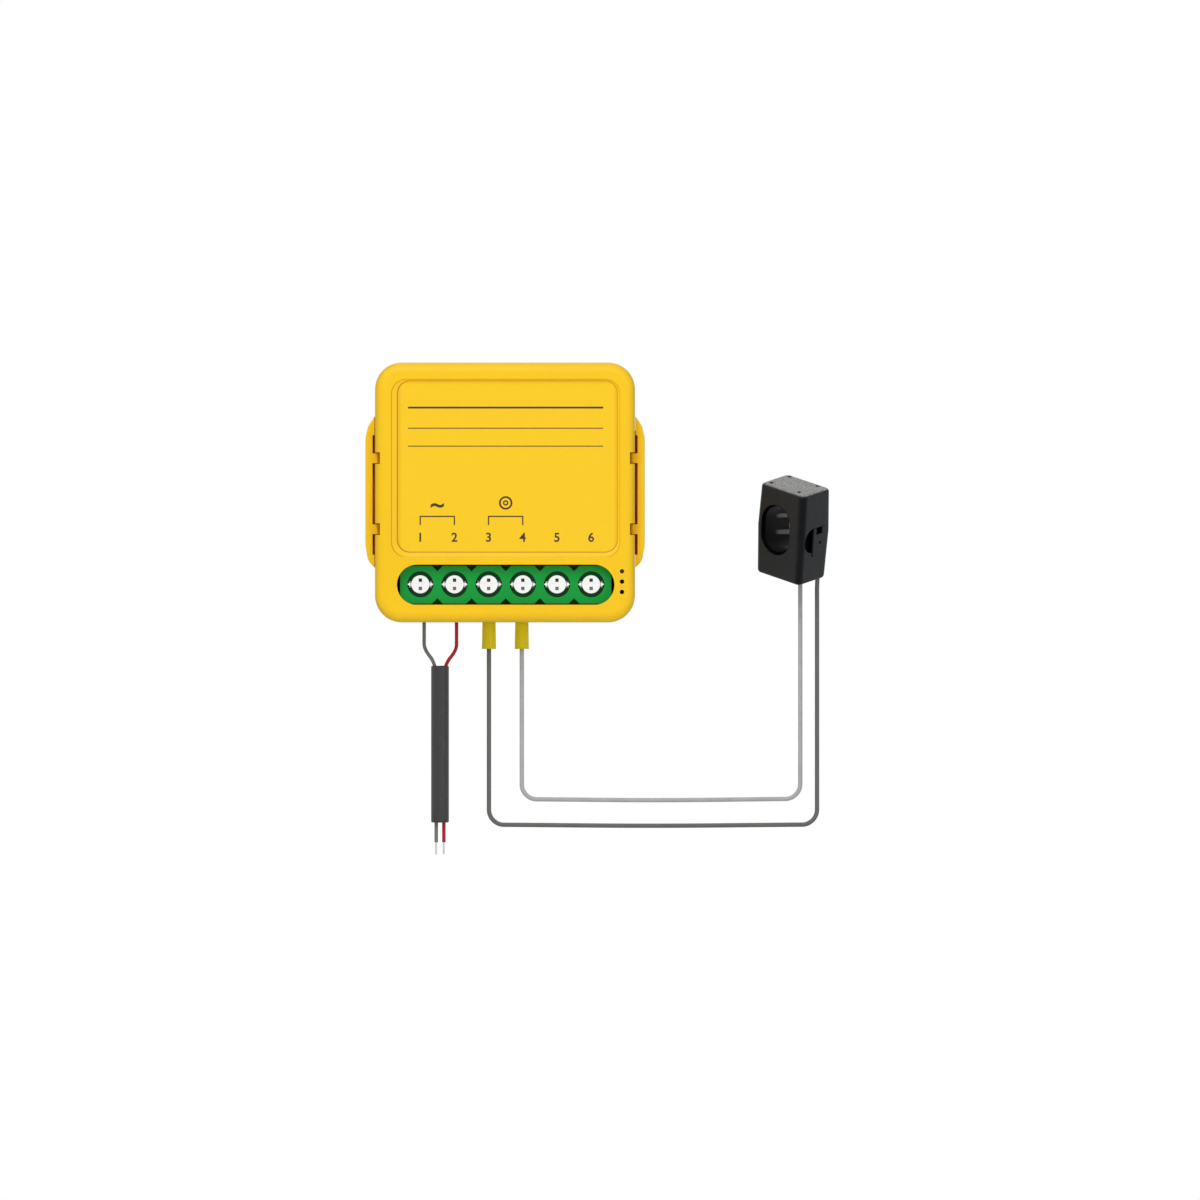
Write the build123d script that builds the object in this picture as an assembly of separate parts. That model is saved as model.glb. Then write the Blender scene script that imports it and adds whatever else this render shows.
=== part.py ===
from build123d import *
import os
from math import radians, tan

# Smart energy monitor for a consumer unit: a wall module with a six-way terminal strip,
# a short mains tail, and a split-core current clamp on two leads.
# The module is built lying on its back (x right, y up the label, z out of the wall) and
# then stood up, so that its back rests on the plane y = 0 with its centre at the origin.

# Casing
case_size = 58.0            # width and height of the label face
case_depth = 21.0           # from the wall to the label face
case_corner = 6.0
case_edge = 2.3             # rounding round the label face
back_edge = 0.8
case_wall = 1.5
face_wall = 1.5
floor_wall = 1.8
parting_height = 7.0        # where the two shells meet
lap_height = 1.2
lap_wall = 0.7              # tongue of the rear shell inside the cover's wall
lap_gap = 0.1
overrun = 2.0               # how far every cut passes its surface
case_half = case_size / 2
inner_half = case_half - case_wall

# Terminal strip, placed from the casing's bottom edge and sides
ways = 6
strip_margin = 6.14         # from the casing's side to the first cell
strip_x = 0.17              # centre of the strip and of its window
screw_rise = 8.5            # from the casing's bottom edge to the screws
strip_end_wall = 0.7        # wall beyond the last cell
front_reach = 6.5           # from the screws to the strip's front and back
back_reach = 5.5
tier_front = 4.4            # from the screws to the edges of the raised middle
tier_back = 4.2
tier_drop = 3.4
strip_gap = 0.1             # between the strip's top and the label face
notch_width = 2.6
notch_depth = 1.3
cell_gap = 0.15             # running gap round a cage
shoulder_thickness = 0.8
entry_gap = 0.4             # each side of a wire entry, from the cage's width
entry_height = 3.8
entry_corner = 0.9
entry_flare = 0.35
pitch = (case_size - 2 * strip_margin) / ways
screw_y = screw_rise - case_half
strip_front = screw_y - front_reach
strip_back = screw_y + back_reach
tier_low = screw_y - tier_front
tier_high = screw_y + tier_back

# Label recess and the holes through the label face
label_step = 0.4
label_corner = 3.3
margin_left = 3.6           # from the casing's edges to the recess
margin_right = 3.3
margin_top = 3.7
label_lift = 1.6            # from the window up to the recess
slope_left = 1.6            # width of the recess's sloping rim on each side
slope_right = 0.7
slope_top = 0.5
slope_bottom = 1.3
window_height = 9.0
window_gap = 0.69           # past each end of the strip
window_drop = 0.1           # window's centre below the screws
pinhole = 1.0
pinhole_margin = 2.9        # from the casing's side to the pinholes
pinhole_lift = 0.6          # middle pinhole above the screws
pinhole_pitch = 2.3
strip_y = screw_y - window_drop
window_width = ways * pitch + 2 * (strip_end_wall + window_gap)
label_left = case_half - margin_left
label_right = case_half - margin_right
label_top = case_half - margin_top
label_bottom = -(strip_y + window_height / 2 + label_lift)
pinhole_x = case_half - pinhole_margin
pinhole_y = screw_y + pinhole_lift

# Side bars with the hooks that hold the shells together
bar_out = 2.2               # how far a bar stands out from the casing
bar_gap = 0.15              # between the casing's side and the slot
slot_width = 0.45
bar_step = 4.0              # from the label face back to the bar's front
bar_root = 3.0              # height up to which the bar is one with the rear shell
bar_drop = 12.0             # from the casing's top edge to the bar's top end
bar_rise = 12.25            # from the casing's bottom edge to its bottom end
bar_slant_top = 4.8         # length of the slanted end at the top and at the bottom
bar_slant_bottom = 5.0
knee_in_share = 0.3         # of the bar's width, where the slant steepens
knee_top = 2.1              # from the bar's ends to the knees
knee_bottom = 1.45
slot_drop = 4.2             # from the bar's ends to the slot's ends
slot_rise = 2.85
slot_deep = 3.0             # from the bar's front to the slot's floor
bar_round = 3.0
bar_edge = 0.5
hook_drop = 8.05            # from the bar's top end to the upper hook's top
hook_rise = 9.85            # from its bottom end to the lower hook's top
hook_width = 2.6
hook_reach = 1.1            # depth of the notch in the cover that a hook enters
hook_height = 1.1
hook_gap = 0.2
hook_lead = 0.4             # chamfer on the hook's tip
bar_height = case_depth - bar_step
bar_top = case_half - bar_drop
bar_bottom = bar_rise - case_half
slot_top = bar_top - slot_drop
slot_bottom = bar_bottom + slot_rise
hook_tops = (bar_top - hook_drop, bar_bottom + hook_rise)

# Board, and the bosses and posts that hold it
board_wall_gap = 0.4
board_thickness = 1.6
board_fit = 0.05
boss_radius = 2.4
boss_margin = 6.0           # from the casing's inner wall to a boss
boss_lift = 4.5             # lower bosses above the strip
post_radius = 1.5
post_gap = 0.05
boss_x = inner_half - boss_margin
boss_top_y = inner_half - boss_margin
boss_bottom_y = strip_back + boss_lift

# Terminal screw
shaft_share = 0.79          # of the room between the cage's side walls
shaft_fit = 0.06
head_rim = 0.6              # how far the head stands out past the shaft
head_height = 1.6
head_chamfer = 0.1
head_gap = 0.05
head_sunk = 0.35            # head below the strip's top
well_room = 0.8             # round the head
slot_blade = 0.7
slot_depth = 0.4
pit_width = 0.75            # the two arms of the cross recess
pit_depth = 1.1
pit_near_share = 0.26       # of the head's radius
pit_far_share = 0.62

# Rising cage and current bar
cage_share = 0.6824         # cage's width, of the pitch of the ways
cage_length = 5.0
cage_wall = 0.7
cage_floor = 0.8
cage_top = 0.9
cage_foot = 1.4             # under the open cage, above the board
bar_thickness = 0.8
bar_play_gap = 0.1          # between the bar and the cage's side walls
bar_over = 0.7              # from the bar to the open cage's top plate
bar_end_reach = 3.7         # from the screws to the bar's leg and to its tip
bar_tip_reach = 2.5
pin_width = 0.9
pin_below = 0.8
tip_gap = 0.2
lug_height = 2.8
lug_under = 0.35            # how far a lug starts inside the head's rim
lug_half_inner = 0.6
lug_half_outer = 0.12
lug_gap = 0.1
grip_gap = 0.01
closed_gap = 0.3            # left under the bar of an empty terminal
cage_width = pitch * cage_share
shaft_radius = shaft_share * (cage_width / 2 - cage_wall)
head_radius = shaft_radius + head_rim
well_radius = head_radius + well_room
entry_width = cage_width - 2 * entry_gap
bar_width = cage_width - 2 * (cage_wall + bar_play_gap)
bar_end = screw_y + bar_end_reach
bar_tip = screw_y - bar_tip_reach
lug_inner = head_radius - lug_under
lug_outer = well_radius - lug_gap

# Parts on the board: places are shares of its half width and of the room above the strip
chip_corner = 0.4
chip_lift = 0.1
leg_width = 0.4
leg_reach = 1.0
leg_height = 0.25
leg_share = 0.5
chip_width = 3.9
chip_height = 1.5
metering_length = 10.0
metering_legs = 8
metering_share = (0.073, 0.118)
power_length = 4.9
power_legs = 4
power_share = (-0.327, 0.345)
bridge_length = 4.8
bridge_height = 2.5
bridge_legs = 2
bridge_share = (-0.636, 0.282)
bulk_radius = 3.5
bulk_shares = (-0.564, -0.236)
can_top_gap = 6.0           # from the casing's inner wall to the row of cans
can_headroom = 1.1
filter_radius = 2.5
filter_height = 8.0
filter_share = 0.055
can_bung = 0.4
can_groove = 0.35
can_groove_at = 1.6
coil_radius = 3.5
coil_height = 7.0
coil_flange = 0.9
coil_share = (-0.764, 0.529)
regulator_length = 6.5
regulator_legs = 3
regulator_share = (0.055, 0.53)
diode_length = 4.3
diode_width = 2.6
diode_height = 2.2
diode_share = (-0.455, 0.5)
fuse_radius = 1.6
fuse_length = 7.0
fuse_lead = 1.5
fuse_share = (-0.855, 0.165)
wire_radius = 0.3
varistor_radius = 3.6
varistor_thick = 3.4
varistor_lift = 0.8
varistor_share = (-0.4, 0.129)
burden_count = 3
burden_pitch = 2.4
burden_width = 1.6
burden_length = 3.2
burden_height = 0.6
burden_share = (-0.164, 0.282)
crystal_length = 10.0
crystal_width = 4.4
crystal_height = 3.2
crystal_share = 0.545
crystal_lift = 2.8          # above the strip
radio_left_share = 0.273
radio_margin = 4.0          # from the casing's inner walls to the radio
radio_top = 9.5
radio_gap = 1.8             # above the crystal
radio_thick = 0.8
radio_pads = 8
radio_bare_end = 8.0        # end of the radio board without pads
shield_margin = 1.6
shield_end = 9.5            # aerial end left bare
shield_height = 2.0
switch_width = 2.8
switch_length = 2.8
switch_height = 3.4
switch_travel = 0.3
stem_radius = 0.9
stem_fit = 0.06
stem_sunk = 0.5
stem_gap = 0.4
led_width = 1.6
led_height = 0.7
pipe_radius = 0.75

# Mains tail and ferrules, in the upright frame
core_diameter = 0.8
strand_diameter = 0.5
strand_top = -18.5
core_bend = 4.0
sheath_diameter = 4.0
sheath_top = -38.7
sheath_bottom = -73.8
sheath_x = -14.6
sheath_round = 0.35
strand_foot = -80.9
bore_fit = 0.01
ferrule_pin_diameter = 1.0
ferrule_top = -18.5
ferrule_flange = 0.8        # radius of the pin's collar inside the sleeve
ferrule_flange_height = 0.4
sleeve_top = -26.6
sleeve_top_radius = 1.45
sleeve_radius = 1.6
sleeve_bottom = -34.95
sleeve_mouth = 1.1
sleeve_mouth_depth = 1.6
lead_diameter = 1.0
lead_bend = 2.8
arc_share = 0.45            # part of a run that an arc may use
sharp_turn = 45.0

# Current clamp, in its own upright frame with the hole facing -y and the latch +x
clamp_width = 13.6
clamp_depth = 10.0
clamp_height = 21.2
clamp_split = 0.85
clamp_inset = 0.35          # how far each end is drawn in from the split
clamp_corner = 1.3
clamp_edge = 0.8
split_gap = 0.02
cap_thickness = 0.9
clamp_wall = 0.85           # left of the core, on the hinge side
bore_shift = -1.0
bore_flare = 0.45
dimple_radius = 0.5
dimple_depth = 0.3
dimple_margin = 2.7         # from the clamp's sides to the dimples
dimple_front = 1.9
dimple_shift = -0.6

# Clamp cores and coil
core_skin = 0.4             # plastic between the bore and the core
core_thick = 0.8
core_gap = 0.05
core_cover = 1.25           # each side of the core, from the coil's room
coil_margin = 1.25          # each side of the coil's room, from the clamp's faces
coil_room_share = 0.5094    # of the clamp's half height
coil_skin = 0.3             # plastic between the coil's room and the core's skin
yoke_lift = 1.5             # above the cap
yoke_round = 0.6
bobbin_wall = 0.35
bobbin_end = 0.3
flange_wall = 0.4
winding_build = 0.65
flange_over = 0.1
spring_width = 3.0
spring_end = 0.7            # each end of the spring, from the bore's width
spring_rise = 0.35
spring_thickness = 0.15
bore_radius = clamp_width / 2 + bore_shift - clamp_wall - core_gap - core_thick - core_skin
coil_room_top = (coil_room_share - 1) * clamp_height / 2
bore_height = 2 * (clamp_split - coil_room_top - coil_skin - core_skin)
coil_room_depth = clamp_depth - 2 * coil_margin
core_depth = coil_room_depth - 2 * core_cover
spring_length = 2 * (bore_radius - spring_end)
bobbin_half = bore_radius + core_skin - bobbin_end
dimple_x = clamp_width / 2 - dimple_margin
dimple_y = clamp_depth / 2 - dimple_front

# Clamp hinge
hinge_out = 0.35            # pin axis outside the widest side
knuckle_radius = 0.85
knuckle_pin = 0.35
knuckle_end = 2.4           # from the clamp's faces to the outer knuckles
knuckle_middle = 1.2
knuckle_gap = 0.1
pin_fit = 0.03
web_height = 1.6
web_inside = 0.4
knuckle_half = clamp_depth / 2 - knuckle_end

# Clamp latch
latch_low = -4.4
latch_left = -0.9
latch_margin = 2.15         # from the clamp's far face to the tongue
latch_thick = 0.7
latch_proud = 0.05
latch_shoulder = 0.7
latch_top = 2.25
latch_post = 0.85
latch_gap = 0.1
latch_pocket = 0.95
nib_height = 0.5
nib_depth = 0.15
hole_width = 0.65
hole_in = 1.5               # from the tongue's right edge to the hole
hole_z = -1.4
root_radius = 0.4
root_fit = 0.04
notch_deep = 1.7
recess_radius = 2.9
recess_depth = 1.0
recess_z = -0.5
latch_right = clamp_depth / 2 - latch_margin
hole_y = latch_right - hole_in

# Where the clamp hangs
clamp_x = 64.4
clamp_y = -13.0
clamp_z = -8.35
clamp_roll_angle = 2.8
clamp_lean_angle = 20.0
clamp_turn_angle = -41.0
clamp_place = (Pos(clamp_x, clamp_y, clamp_z) * Rot(Y=clamp_roll_angle) * Rot(X=clamp_lean_angle)
               * Rot(Z=clamp_turn_angle))
stand_up = Rot(X=90)

# Levels of the board and of the terminals, worked out from the sizes above: the room that a
# wire has under the bar is what the other parts of a terminal leave between board and face
under_face = case_depth - face_wall - label_step
strip_top = under_face - strip_gap
tier_step = strip_top - tier_drop
head_high = strip_top - head_sunk
head_low = head_high - head_height
well_floor = head_low - head_gap
shoulder_low = well_floor - shoulder_thickness
board_top = parting_height
board_bottom = board_top - board_thickness
cage_open = board_top + cage_foot
cage_solid = cage_floor + bar_thickness + bar_over + cage_top
wire_room = (shoulder_low - lug_gap - cage_open - cage_solid + closed_gap) / 2
bar_low = cage_open + cage_floor + wire_room
bar_high = bar_low + bar_thickness
cage_roof = bar_high + bar_over + cage_top
bulk_height = under_face - board_top - can_headroom
wire_level = bar_low - ferrule_pin_diameter / 2
way_x = [strip_x + (k - (ways - 1) / 2) * pitch for k in range(ways)]
grip = [strand_diameter] * 2 + [ferrule_pin_diameter] * 2 + [closed_gap] * 2

parts = {}


def rounded(width, height, radius, low, high, x=0, y=0):
    """Block with rounded corners between two levels."""
    return Pos(x, y, low) * extrude(RectangleRounded(width, height, radius), high - low)


def block(x0, x1, y0, y1, z0, z1):
    """Square-cornered block between limits."""
    return Pos((x0 + x1) / 2, (y0 + y1) / 2, (z0 + z1) / 2) * Box(x1 - x0, y1 - y0, z1 - z0)


def rod(radius, start, end):
    """Round bar from one point to another."""
    start, end = Vector(*start), Vector(*end)
    way = end - start
    return extrude(Plane(start, z_dir=way) * Circle(radius), way.length)


def mirrored(solid):
    """The solid and its image on the other side of the casing."""
    return solid + mirror(solid, Plane.YZ)


# Front cover: the label shell with its recess, window, pinholes, wire entries and hook notches
def wire_entry(x, start, depth):
    """Opening for one wire, running up from the bottom edge, with a flared mouth."""
    face = Plane((x, start, wire_level), x_dir=(1, 0, 0), z_dir=(0, 1, 0))
    hole = extrude(face * RectangleRounded(entry_width, entry_height, entry_corner), depth + overrun)
    mouth_width = entry_width + 2 * entry_flare
    mouth = face * RectangleRounded(mouth_width, entry_height + 2 * entry_flare, entry_corner)
    inner = face.offset(entry_flare) * RectangleRounded(entry_width, entry_height, entry_corner)
    return hole + loft([mouth, inner])


def label_recess():
    """Shallow panel recess whose rim slopes in by a different amount on each side."""
    width, height = label_left + label_right, label_top + label_bottom
    rim = RectangleRounded(width, height, label_corner)
    panel = RectangleRounded(width - slope_left - slope_right, height - slope_top - slope_bottom,
                             label_corner - slope_top)
    across, up = (label_right - label_left) / 2, (label_top - label_bottom) / 2
    return loft([
        Pos(across, up, case_depth) * rim,
        Pos(across + (slope_left - slope_right) / 2, up + (slope_bottom - slope_top) / 2,
            case_depth - label_step) * panel,
    ])


def front_cover():
    shell = rounded(case_size, case_size, case_corner, parting_height, case_depth)
    shell = fillet(shell.faces().sort_by(Axis.Z)[-1].edges(), case_edge)
    shell -= rounded(2 * inner_half, 2 * inner_half, case_corner - case_wall,
                     parting_height - overrun, under_face)
    lap = 2 * (inner_half + lap_wall + lap_gap)
    shell -= rounded(lap, lap, case_corner - case_wall + lap_wall + lap_gap,
                     parting_height - overrun, parting_height + lap_height + lap_gap)
    shell -= label_recess()
    window = SlotOverall(window_width, window_height)
    shell -= Pos(strip_x, strip_y, under_face - overrun) * extrude(window, 3 * overrun)
    for k in (-1, 0, 1):
        shell -= rod(pinhole / 2, (pinhole_x, pinhole_y + k * pinhole_pitch, under_face - overrun),
                     (pinhole_x, pinhole_y + k * pinhole_pitch, case_depth + overrun))
    for x in way_x:
        shell -= wire_entry(x, -case_half, case_wall)
    for top in hook_tops:
        shell -= mirrored(block(case_half - hook_reach, case_half + overrun, top - hook_width, top,
                                bar_height - hook_height - hook_gap, case_depth + overrun))
    for side in (-1, 1):
        shell += rod(post_radius, (side * boss_x, boss_top_y, board_top + post_gap),
                     (side * boss_x, boss_top_y, under_face))
    shell += block(-boss_x, boss_x, strip_front, tier_low - cell_gap, tier_step + post_gap, under_face)
    return shell


# Rear shell: tray with the lap tongue, board bosses, and the two side bars with their hooks
def side_bar():
    """Springy bar along the right side, with a hook over each notch of the cover."""
    x_in, x_out = case_half + bar_gap, case_half + bar_out
    knee_x = x_out - knee_in_share * (x_out - x_in)
    outline = make_face(Polyline(
        (x_in, bar_top), (knee_x, bar_top - knee_top), (x_out, bar_top - bar_slant_top),
        (x_out, bar_bottom + bar_slant_bottom), (knee_x, bar_bottom + knee_bottom),
        (x_in, bar_bottom), close=True))
    outline = fillet(outline.vertices().sort_by(Axis.X)[-4:], bar_round)
    bar = extrude(outline, bar_height)
    bar = fillet(bar.faces().sort_by(Axis.Z)[-1].edges().sort_by(Axis.X)[1:], bar_edge)
    bar -= block(x_in - overrun, x_in + slot_width, slot_bottom, slot_top, bar_height - slot_deep,
                 bar_height + overrun)
    root = block(case_half - case_wall / 2, x_in + slot_width, bar_bottom + bar_round, bar_top - bar_round,
                 0, bar_root)
    hook_low = bar_height - hook_height
    hook_tip = case_half - hook_reach + hook_gap
    hook = Plane.XZ * make_face(Polyline(
        (hook_tip, hook_low), (x_in + slot_width, hook_low), (x_in + slot_width, bar_height),
        (hook_tip + hook_lead, bar_height), (hook_tip, bar_height - hook_lead), close=True))
    for top in hook_tops:
        bar += Pos(0, top - hook_gap, 0) * extrude(hook, hook_width - 2 * hook_gap)
    return bar + root


def rear_shell():
    tray = rounded(case_size, case_size, case_corner, 0, parting_height)
    tray = fillet(tray.faces().sort_by(Axis.Z)[0].edges(), back_edge)
    tongue = 2 * (inner_half + lap_wall)
    tray += rounded(tongue, tongue, case_corner - case_wall + lap_wall,
                    parting_height - overrun, parting_height + lap_height)
    tray -= rounded(2 * inner_half, 2 * inner_half, case_corner - case_wall, floor_wall, case_depth)
    for x in (-boss_x, boss_x):
        for y in (boss_top_y, boss_bottom_y, strip_y):
            tray += rod(boss_radius, (x, y, floor_wall), (x, y, board_bottom))
    return tray + mirrored(side_bar())


# Terminal housing: stepped block with a screw well, a cage cell and a wire entry for each way
def cell_cut(x):
    """Everything that is open in one cell of the strip."""
    half = cage_width / 2 + cell_gap
    front, back = screw_y - cage_length / 2 - cell_gap, screw_y + cage_length / 2 + cell_gap
    cut = block(x - half, x + half, front, back, board_top - overrun, shoulder_low)
    cut += block(x - bar_width / 2 - cell_gap, x + bar_width / 2 + cell_gap, back - cell_gap,
                 bar_end + cell_gap, board_top - overrun, bar_high + cell_gap)
    cut += rod(well_radius, (x, screw_y, well_floor), (x, screw_y, strip_top + overrun))
    cut += rod(shaft_radius + shaft_fit, (x, screw_y, shoulder_low - overrun), (x, screw_y, strip_top))
    lug_slot = lug_outer + lug_gap
    cut += block(x - lug_slot, x + lug_slot, screw_y - lug_half_inner - lug_gap,
                 screw_y + lug_half_inner + lug_gap, shoulder_low - overrun, well_floor + overrun)
    return cut + wire_entry(x, strip_front, front - strip_front)


def terminal_housing():
    half = ways * pitch / 2 + strip_end_wall
    profile = make_face(Polyline(
        (strip_front, board_top), (strip_front, tier_step), (tier_low, tier_step), (tier_low, strip_top),
        (tier_high, strip_top), (tier_high, tier_step), (strip_back, tier_step), (strip_back, board_top),
        close=True))
    housing = Pos(strip_x - half, 0, 0) * extrude(Plane.YZ * profile, 2 * half)
    for x in way_x:
        housing -= cell_cut(x)
    for left in way_x[:-1]:
        middle = left + pitch / 2
        for edge, inward in ((tier_low, notch_depth), (tier_high, -notch_depth)):
            notch = make_face(Polyline((middle - notch_width / 2, edge), (middle + notch_width / 2, edge),
                                       (middle, edge + inward), close=True))
            housing -= Pos(0, 0, tier_step) * extrude(notch, strip_top - tier_step + overrun)
    return housing


# Terminal screws: turn in place in the housing, each lifting its cage; a blade's slot runs across the
# head and the two arms of a cross recess are sunk above and below it
def terminal_screw(x):
    screw = rod(head_radius, (x, screw_y, head_low), (x, screw_y, head_high))
    screw = chamfer(screw.faces().sort_by(Axis.Z)[-1].edges(), head_chamfer)
    screw += rod(shaft_radius, (x, screw_y, bar_high + tip_gap), (x, screw_y, head_low))
    reach = head_radius + overrun
    screw -= block(x - reach, x + reach, screw_y - slot_blade / 2, screw_y + slot_blade / 2,
                   head_high - slot_depth, head_high + overrun)
    for side in (-1, 1):
        near, far = sorted(screw_y + side * share * head_radius for share in (pit_near_share, pit_far_share))
        screw -= block(x - pit_width / 2, x + pit_width / 2, near, far,
                       head_high - pit_depth, head_high + overrun)
    return screw


# Rising cages: boxes open front and back, with a screw hole and two guide lugs on top
def terminal_cage(x, held):
    """The cage of one way, raised until it holds what is under the bar."""
    low = bar_low - held - grip_gap - cage_floor
    high = low + cage_roof - cage_open
    half, run = cage_width / 2, cage_length / 2
    cage = block(x - half, x + half, screw_y - run, screw_y + run, low, high)
    cage -= block(x - half + cage_wall, x + half - cage_wall, screw_y - run - overrun, screw_y + run + overrun,
                  low + cage_floor, high - cage_top)
    lug = make_face(Polyline((lug_inner, -lug_half_inner), (lug_outer, -lug_half_outer),
                             (lug_outer, lug_half_outer), (lug_inner, lug_half_inner), close=True))
    lug = extrude(lug, lug_height)
    cage += Pos(x, screw_y, high) * mirrored(lug)
    plate_low = high - cage_top - lug_gap
    cage -= rod(shaft_radius + shaft_fit, (x, screw_y, plate_low), (x, screw_y, high + overrun))
    clear = rod(head_radius + lug_gap, (x, screw_y, high), (x, screw_y, high + lug_height + overrun))
    return cage - clear


# Current bars: bent strips from each cage to a pin soldered in the board
def current_bars():
    side = Plane.YZ * make_face(Polyline(
        (bar_tip, bar_low), (bar_end - bar_thickness, bar_low), (bar_end - bar_thickness, board_top),
        (bar_end, board_top), (bar_end, bar_high), (bar_tip, bar_high), close=True))
    bars = []
    for x in way_x:
        strip = Pos(x - bar_width / 2, 0, 0) * extrude(side, bar_width)
        pin = block(x - pin_width / 2, x + pin_width / 2, bar_end - bar_thickness, bar_end,
                    board_bottom - pin_below, board_top)
        bars.append(strip + pin)
    return Compound(bars)


# Main board: carries every part on its front, with a slot for each current bar's pin
def main_board():
    width = 2 * (inner_half - board_wall_gap)
    board = rounded(width, width, case_corner - case_wall - board_wall_gap, board_bottom, board_top)
    reach = pin_width / 2 + board_fit
    for x in way_x:
        board -= block(x - reach, x + reach, bar_end - bar_thickness - board_fit, bar_end + board_fit,
                       board_bottom - overrun, board_top + overrun)
    return board


# Parts on the board, each standing on its front face
def spot(shares):
    """Place on the board, from shares of its half width and of the room above the strip."""
    return shares[0] * inner_half, strip_back + shares[1] * (inner_half - strip_back)


def chip(length, height, legs, shares):
    """Moulded chip with a row of legs along each long side."""
    x, y = spot(shares)
    body = rounded(length, chip_width, chip_corner, board_top + chip_lift, board_top + height, x, y)
    body = chamfer(body.faces().sort_by(Axis.Z)[-1].edges(), chip_corner / 2)
    step = length / legs
    for k in range(legs):
        leg_x = x - length / 2 + (k + leg_share) * step
        body += block(leg_x - leg_width / 2, leg_x + leg_width / 2, y - chip_width / 2 - leg_reach,
                      y + chip_width / 2 + leg_reach, board_top, board_top + leg_height)
    return body


def can(radius, height, share):
    """Upright capacitor of the top row: rolled can with a groove, standing on its rubber bung."""
    side = make_face(Polyline(
        (0, 0), (radius - can_bung, 0), (radius - can_bung, can_bung), (radius, can_bung),
        (radius, can_groove_at), (radius - can_groove, can_groove_at + can_groove),
        (radius, can_groove_at + 2 * can_groove), (radius, height - can_groove),
        (radius - can_groove, height), (0, height), close=True))
    place = Pos(share * inner_half, inner_half - can_top_gap - radius, board_top)
    return place * revolve(Plane.XZ * side, Axis.Z)


def fuse_resistor():
    """Round resistor lying on its two bent wires."""
    x, y = spot(fuse_share)
    level = board_top + fuse_radius + can_bung
    body = rod(fuse_radius, (x, y - fuse_length / 2, level), (x, y + fuse_length / 2, level))
    body = fillet(body.edges(), fuse_radius / 4)
    for side in (-1, 1):
        end = y + side * (fuse_length / 2 + fuse_lead)
        body += rod(wire_radius, (x, y, level), (x, end, level))
        body += rod(wire_radius, (x, end, board_top), (x, end, level + wire_radius))
    return body


def varistor():
    """Flat coated disc standing on edge on two wires."""
    x, y = spot(varistor_share)
    level = board_top + varistor_lift + varistor_radius
    disc = rod(varistor_radius, (x - varistor_thick / 2, y, level), (x + varistor_thick / 2, y, level))
    disc = fillet(disc.edges(), varistor_thick / 3)
    for wire_y in (y - varistor_radius / 2, y + varistor_radius / 2):
        disc += rod(wire_radius, (x, wire_y, board_top), (x, wire_y, level))
    return disc


def power_inductor():
    """Drum core: two flanges with the wound waist between them."""
    side = make_face(Polyline(
        (0, 0), (coil_radius, 0), (coil_radius, coil_flange), (coil_radius - coil_flange, coil_flange),
        (coil_radius - coil_flange, coil_height - coil_flange), (coil_radius, coil_height - coil_flange),
        (coil_radius, coil_height), (0, coil_height), close=True))
    return Pos(*spot(coil_share), board_top) * revolve(Plane.XZ * side, Axis.Z)


def freewheel_diode():
    return rounded(diode_length, diode_width, chip_corner, board_top, board_top + diode_height,
                   *spot(diode_share))


def burden_resistors():
    x, y = spot(burden_share)
    half, run = burden_width / 2, burden_length / 2
    return Compound([block(x + k * burden_pitch - half, x + k * burden_pitch + half, y - run, y + run,
                           board_top, board_top + burden_height) for k in range(burden_count)])


# Crystal above the strip, and the radio board that fills the room between it and the top post
crystal_x = crystal_share * inner_half
crystal_y = strip_back + crystal_lift + crystal_width / 2
radio_left = radio_left_share * inner_half
radio_right = inner_half - radio_margin
radio_low = crystal_y + crystal_width / 2 + radio_gap
radio_high = inner_half - radio_top
radio_x = (radio_left + radio_right) / 2
radio_y = (radio_low + radio_high) / 2
radio_pad_pitch = (radio_high - radio_low - radio_bare_end) / radio_pads


def clock_crystal():
    outline = Pos(crystal_x, crystal_y, board_top) * SlotOverall(crystal_length, crystal_width)
    body = extrude(outline, crystal_height)
    return fillet(body.faces().sort_by(Axis.Z)[-1].edges(), chip_corner)


def wifi_board():
    board = rounded(radio_right - radio_left, radio_high - radio_low, chip_corner, board_top,
                    board_top + radio_thick, radio_x, radio_y)
    for k in range(radio_pads):
        y = radio_low + (k + 1) * radio_pad_pitch
        for x in (radio_left, radio_right):
            board -= rod(radio_pad_pitch / 4, (x, y, board_top - overrun), (x, y, board_top + overrun))
    return board


def wifi_shield():
    low = board_top + radio_thick
    width = radio_right - radio_left - 2 * shield_margin
    length = radio_high - radio_low - shield_end
    can_box = rounded(width, length, chip_corner, low, low + shield_height,
                      radio_x, radio_low + length / 2 + chip_corner)
    return fillet(can_box.faces().sort_by(Axis.Z)[-1].edges(), chip_corner / 2)


# Pairing switch under the middle pinhole, status lamp and light pipe behind the top one
switch_x = inner_half - board_wall_gap - switch_width / 2
stem_low = board_top + switch_height - stem_sunk
stem_high = under_face - stem_gap


def pairing_switch():
    body = rounded(switch_width, switch_length, chip_corner, board_top, board_top + switch_height,
                   switch_x, pinhole_y)
    return body - rod(stem_radius + stem_fit, (switch_x, pinhole_y, stem_low - switch_travel - stem_fit),
                      (switch_x, pinhole_y, board_top + switch_height + overrun))


def switch_plunger():
    stem = rod(stem_radius, (switch_x, pinhole_y, stem_low), (switch_x, pinhole_y, stem_high))
    return chamfer(stem.faces().sort_by(Axis.Z)[-1].edges(), stem_radius / 4)


def status_led():
    y = pinhole_y + pinhole_pitch
    return block(pinhole_x - led_width / 2, pinhole_x + led_width / 2, y - led_width / 4, y + led_width / 4,
                 board_top, board_top + led_height)


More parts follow.
